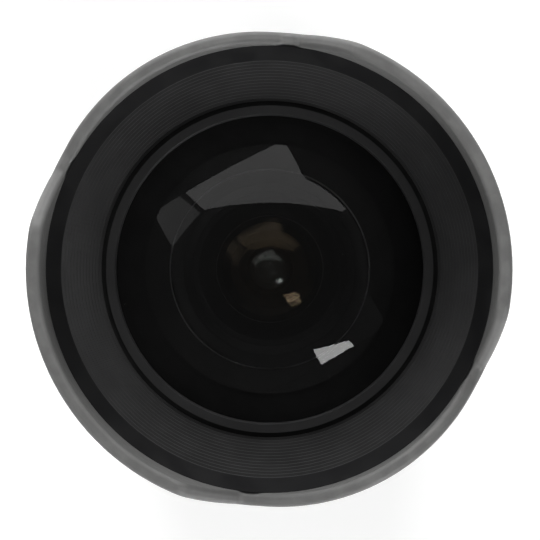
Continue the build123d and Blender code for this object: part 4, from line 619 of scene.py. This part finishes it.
def flat_text(text, size):
    """Letters as flat work, centred, with their depth."""
    curve = bpy.data.curves.new("letters", "FONT")
    curve.body = text
    curve.size = size
    curve.align_x = "CENTER"
    curve.align_y = "CENTER"
    curve.extrude = MARK_HEIGHT / 2
    curve.resolution_u = LETTER_STEPS
    holder = bpy.data.objects.new("letters", curve)
    bpy.context.scene.collection.objects.link(holder)
    bpy.context.view_layer.update()
    mesh = bpy.data.meshes.new_from_object(holder.evaluated_get(bpy.context.evaluated_depsgraph_get()))
    work = bmesh.new()
    work.from_mesh(mesh)
    bmesh.ops.remove_doubles(work, verts=work.verts, dist=MERGE)
    for vertex in work.verts:
        vertex.co.z += MARK_HEIGHT / 2
    bpy.data.objects.remove(holder)
    bpy.data.curves.remove(curve)
    bpy.data.meshes.remove(mesh)
    return work


def flat_bar(width, length):
    """A thin plate with eased upper edges."""
    work = bmesh.new()
    bmesh.ops.create_cube(work, size=1.0)
    for vertex in work.verts:
        vertex.co.x *= width
        vertex.co.y *= length
        vertex.co.z = (vertex.co.z + 0.5) * MARK_HEIGHT
    top = [edge for edge in work.edges if all(v.co.z > MARK_SINK for v in edge.verts)]
    bmesh.ops.bevel(work, geom=top, offset=MARK_EASE, segments=2, affect="EDGES")
    return work


class Marks:
    """Marks of one paint on one ring, gathered into a single piece."""

    def __init__(self, name, body, slot, finish, radius):
        self.name = name
        self.body = body
        self.slot = slot
        self.finish = finish
        self.radius = radius
        self.whole = bmesh.new()

    def add(self, work, angle, height):
        """Wraps flat work round the ring and takes it in."""
        wrap(work, self.radius, angle, height)
        mesh = bpy.data.meshes.new("mark")
        work.to_mesh(mesh)
        work.free()
        self.whole.from_mesh(mesh)
        bpy.data.meshes.remove(mesh)

    def text(self, text, size, angle, height):
        """One number, word or sign."""
        self.add(flat_text(text, size), angle, height)

    def bar(self, width, length, angle, height):
        """One line along the axis."""
        self.add(flat_bar(width, length), angle, height)

    def done(self):
        """Makes the piece, on its body and with its finish."""
        bmesh.ops.recalc_face_normals(self.whole, faces=self.whole.faces)
        mesh = bpy.data.meshes.new(self.name)
        self.whole.to_mesh(mesh)
        self.whole.free()
        piece = bpy.data.objects.new(self.name, mesh)
        bpy.context.scene.collection.objects.link(piece)
        piece.data.materials.append(self.finish)
        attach(piece, self.body)


def focus_angle(distance):
    """How far the ring is turned from infinity for a distance in metres."""
    travel = FOCUS_POWER / (distance - FOCUS_DATUM)
    return FOCUS_TURN * travel / FOCUS_TRAVEL


def make_marks():
    """The stops, the index with its depth-of-field scale, and the distances in metres and feet."""
    white = paint_finish("mark_white", (0.58, 0.58, 0.57), (0.72, 0.72, 0.70))
    amber = paint_finish("mark_amber", (0.62, 0.27, 0.03), (0.75, 0.36, 0.05))

    stops = Marks("aperture_numbers", "aperture", "barrel_black", white, APERTURE_HIGH.x)
    for k, stop in enumerate(STOPS):
        stops.text(stop, STOP_SIZE, INDEX_ANGLE - k * STOP_STEP, APERTURE_HIGH.z - STOP_DROP)
    stops.done()

    index = Marks("index_marks", "barrel", "barrel_black", white, INDEX_HIGH.x)
    low, high = INDEX_LOW.z, INDEX_HIGH.z
    index.bar(INDEX_WIDTH, high - low - 2 * INDEX_MARGIN, INDEX_ANGLE, (low + high) / 2)
    for stop, degrees_out in DEPTH_MARKS:
        for side in (-1, 1):
            at = INDEX_ANGLE + side * radians(degrees_out)
            index.bar(FINE_WIDTH, DEPTH_LINE_LENGTH, at, high - DEPTH_LINE_DROP)
            index.text(stop, DEPTH_SIZE, at, high - DEPTH_DROP)
    index.done()

    rear_edge = FOCUS_LOW.z
    unit_angle = INDEX_ANGLE - FOCUS_TURN - UNIT_SPACE
    metres = Marks("distance_metres", "focus", "barrel_black", white, FOCUS_HIGH.x)
    metres.text("∞", INFINITY_SIZE, INDEX_ANGLE, rear_edge + METRE_ROW)
    for mark in METRE_MARKS:
        at = INDEX_ANGLE - focus_angle(float(mark))
        metres.text(mark, DISTANCE_SIZE, at, rear_edge + METRE_ROW)
        metres.bar(FINE_WIDTH, TICK_LENGTH, at, rear_edge + TICK_ROW)
    metres.text("m", DISTANCE_SIZE, unit_angle, rear_edge + METRE_ROW)
    metres.done()
    feet = Marks("distance_feet", "focus", "barrel_black", amber, FOCUS_HIGH.x)
    for mark in FOOT_MARKS:
        feet.text(mark, DISTANCE_SIZE, INDEX_ANGLE - focus_angle(float(mark) * FOOT), rear_edge + FOOT_ROW)
    feet.text("ft", DISTANCE_SIZE, unit_angle, rear_edge + FOOT_ROW)
    feet.done()


# Camera, floor and lamps
def turned_plan(right, up):
    """The frame's x and y of a point given along the image's right and up."""
    return (right * cos(IMAGE_TURN) - up * sin(IMAGE_TURN), right * sin(IMAGE_TURN) + up * cos(IMAGE_TURN))


def make_camera():
    """The camera over the hood, aimed at a point near the middle of the rim."""
    data = bpy.data.cameras.new("camera")
    data.sensor_width = SENSOR_WIDTH
    data.lens = CAMERA_LENS
    data.clip_start = CLIP_START
    camera = bpy.data.objects.new("camera", data)
    bpy.context.scene.collection.objects.link(camera)
    camera.location = (*turned_plan(CAMERA_RIGHT, CAMERA_UP), VALLEY + CAMERA_HEIGHT)
    camera.rotation_euler = (-atan2(CAMERA_UP - AIM_UP, CAMERA_HEIGHT),
                             atan2(CAMERA_RIGHT - AIM_RIGHT, CAMERA_HEIGHT), IMAGE_TURN)
    bpy.context.scene.camera = camera


def make_floor():
    """The sheet that the lens stands on, mount down."""
    bpy.ops.mesh.primitive_grid_add(x_subdivisions=FLOOR_CELLS, y_subdivisions=FLOOR_CELLS,
                                    size=FLOOR_SIZE, location=(0, 0, cad_low.z))
    floor = bpy.context.object
    floor.name = "floor"
    floor.data.materials.append(floor_finish())


def wall_lamp(name, start, end, low, high, radiance, mirrored):
    """An upright soft panel that faces the lens, from one point of the plan to another."""
    first, second = Vector(turned_plan(*start)), Vector(turned_plan(*end))
    along = second - first
    middle = (first + second) / 2
    data = bpy.data.lights.new(name, "AREA")
    data.shape = "RECTANGLE"
    data.size = along.length
    data.size_y = high - low
    data.energy = radiance * pi * data.size * data.size_y
    lamp = bpy.data.objects.new(name, data)
    bpy.context.scene.collection.objects.link(lamp)
    lamp.location = (middle.x, middle.y, cad_low.z + (low + high) / 2)
    facing = Vector((-along.y, along.x))
    if facing.dot(middle) > 0:
        facing = -facing
    lamp.rotation_euler = (pi / 2, 0.0, atan2(facing.y, facing.x) - pi / 2)
    lamp.visible_camera = False
    lamp.visible_diffuse = not mirrored
    lamp.visible_glossy = mirrored
    lamp.visible_transmission = mirrored


def make_sky():
    """A soft sky, a little darker at the horizon, that the camera sees as plain white."""
    world = bpy.data.worlds.new("studio")
    bpy.context.scene.world = world
    world.use_nodes = True
    tree = world.node_tree
    background = tree.nodes["Background"]
    background.inputs["Color"].default_value = (1.0, 1.0, 1.0, 1.0)
    place = tree.nodes.new("ShaderNodeTexCoord")
    rise = tree.nodes.new("ShaderNodeSeparateXYZ")
    fade = tree.nodes.new("ShaderNodeMapRange")
    path = tree.nodes.new("ShaderNodeLightPath")
    shown = tree.nodes.new("ShaderNodeMath")
    shown.operation = "MAXIMUM"
    for socket, value in zip(fade.inputs[1:5], (0.0, HORIZON_RISE, HORIZON_LIGHT, CEILING_LIGHT)):
        socket.default_value = value
    tree.links.new(place.outputs["Generated"], rise.inputs[0])
    tree.links.new(rise.outputs[2], fade.inputs[0])
    tree.links.new(fade.outputs[0], shown.inputs[0])
    tree.links.new(path.outputs["Is Camera Ray"], shown.inputs[1])
    tree.links.new(shown.outputs[0], background.inputs["Strength"])


def make_lamps():
    """The panels round the lens."""
    for name, panel in MIRRORED_LAMPS.items():
        wall_lamp(name, *panel, mirrored=True)
    for name, panel in FILL_LAMPS.items():
        wall_lamp(name, *panel, mirrored=False)


bpy.context.scene.view_settings.view_transform = "Standard"
make_camera()
make_floor()
make_sky()
make_lamps()
dress_nodes()
make_elements()
make_marks()
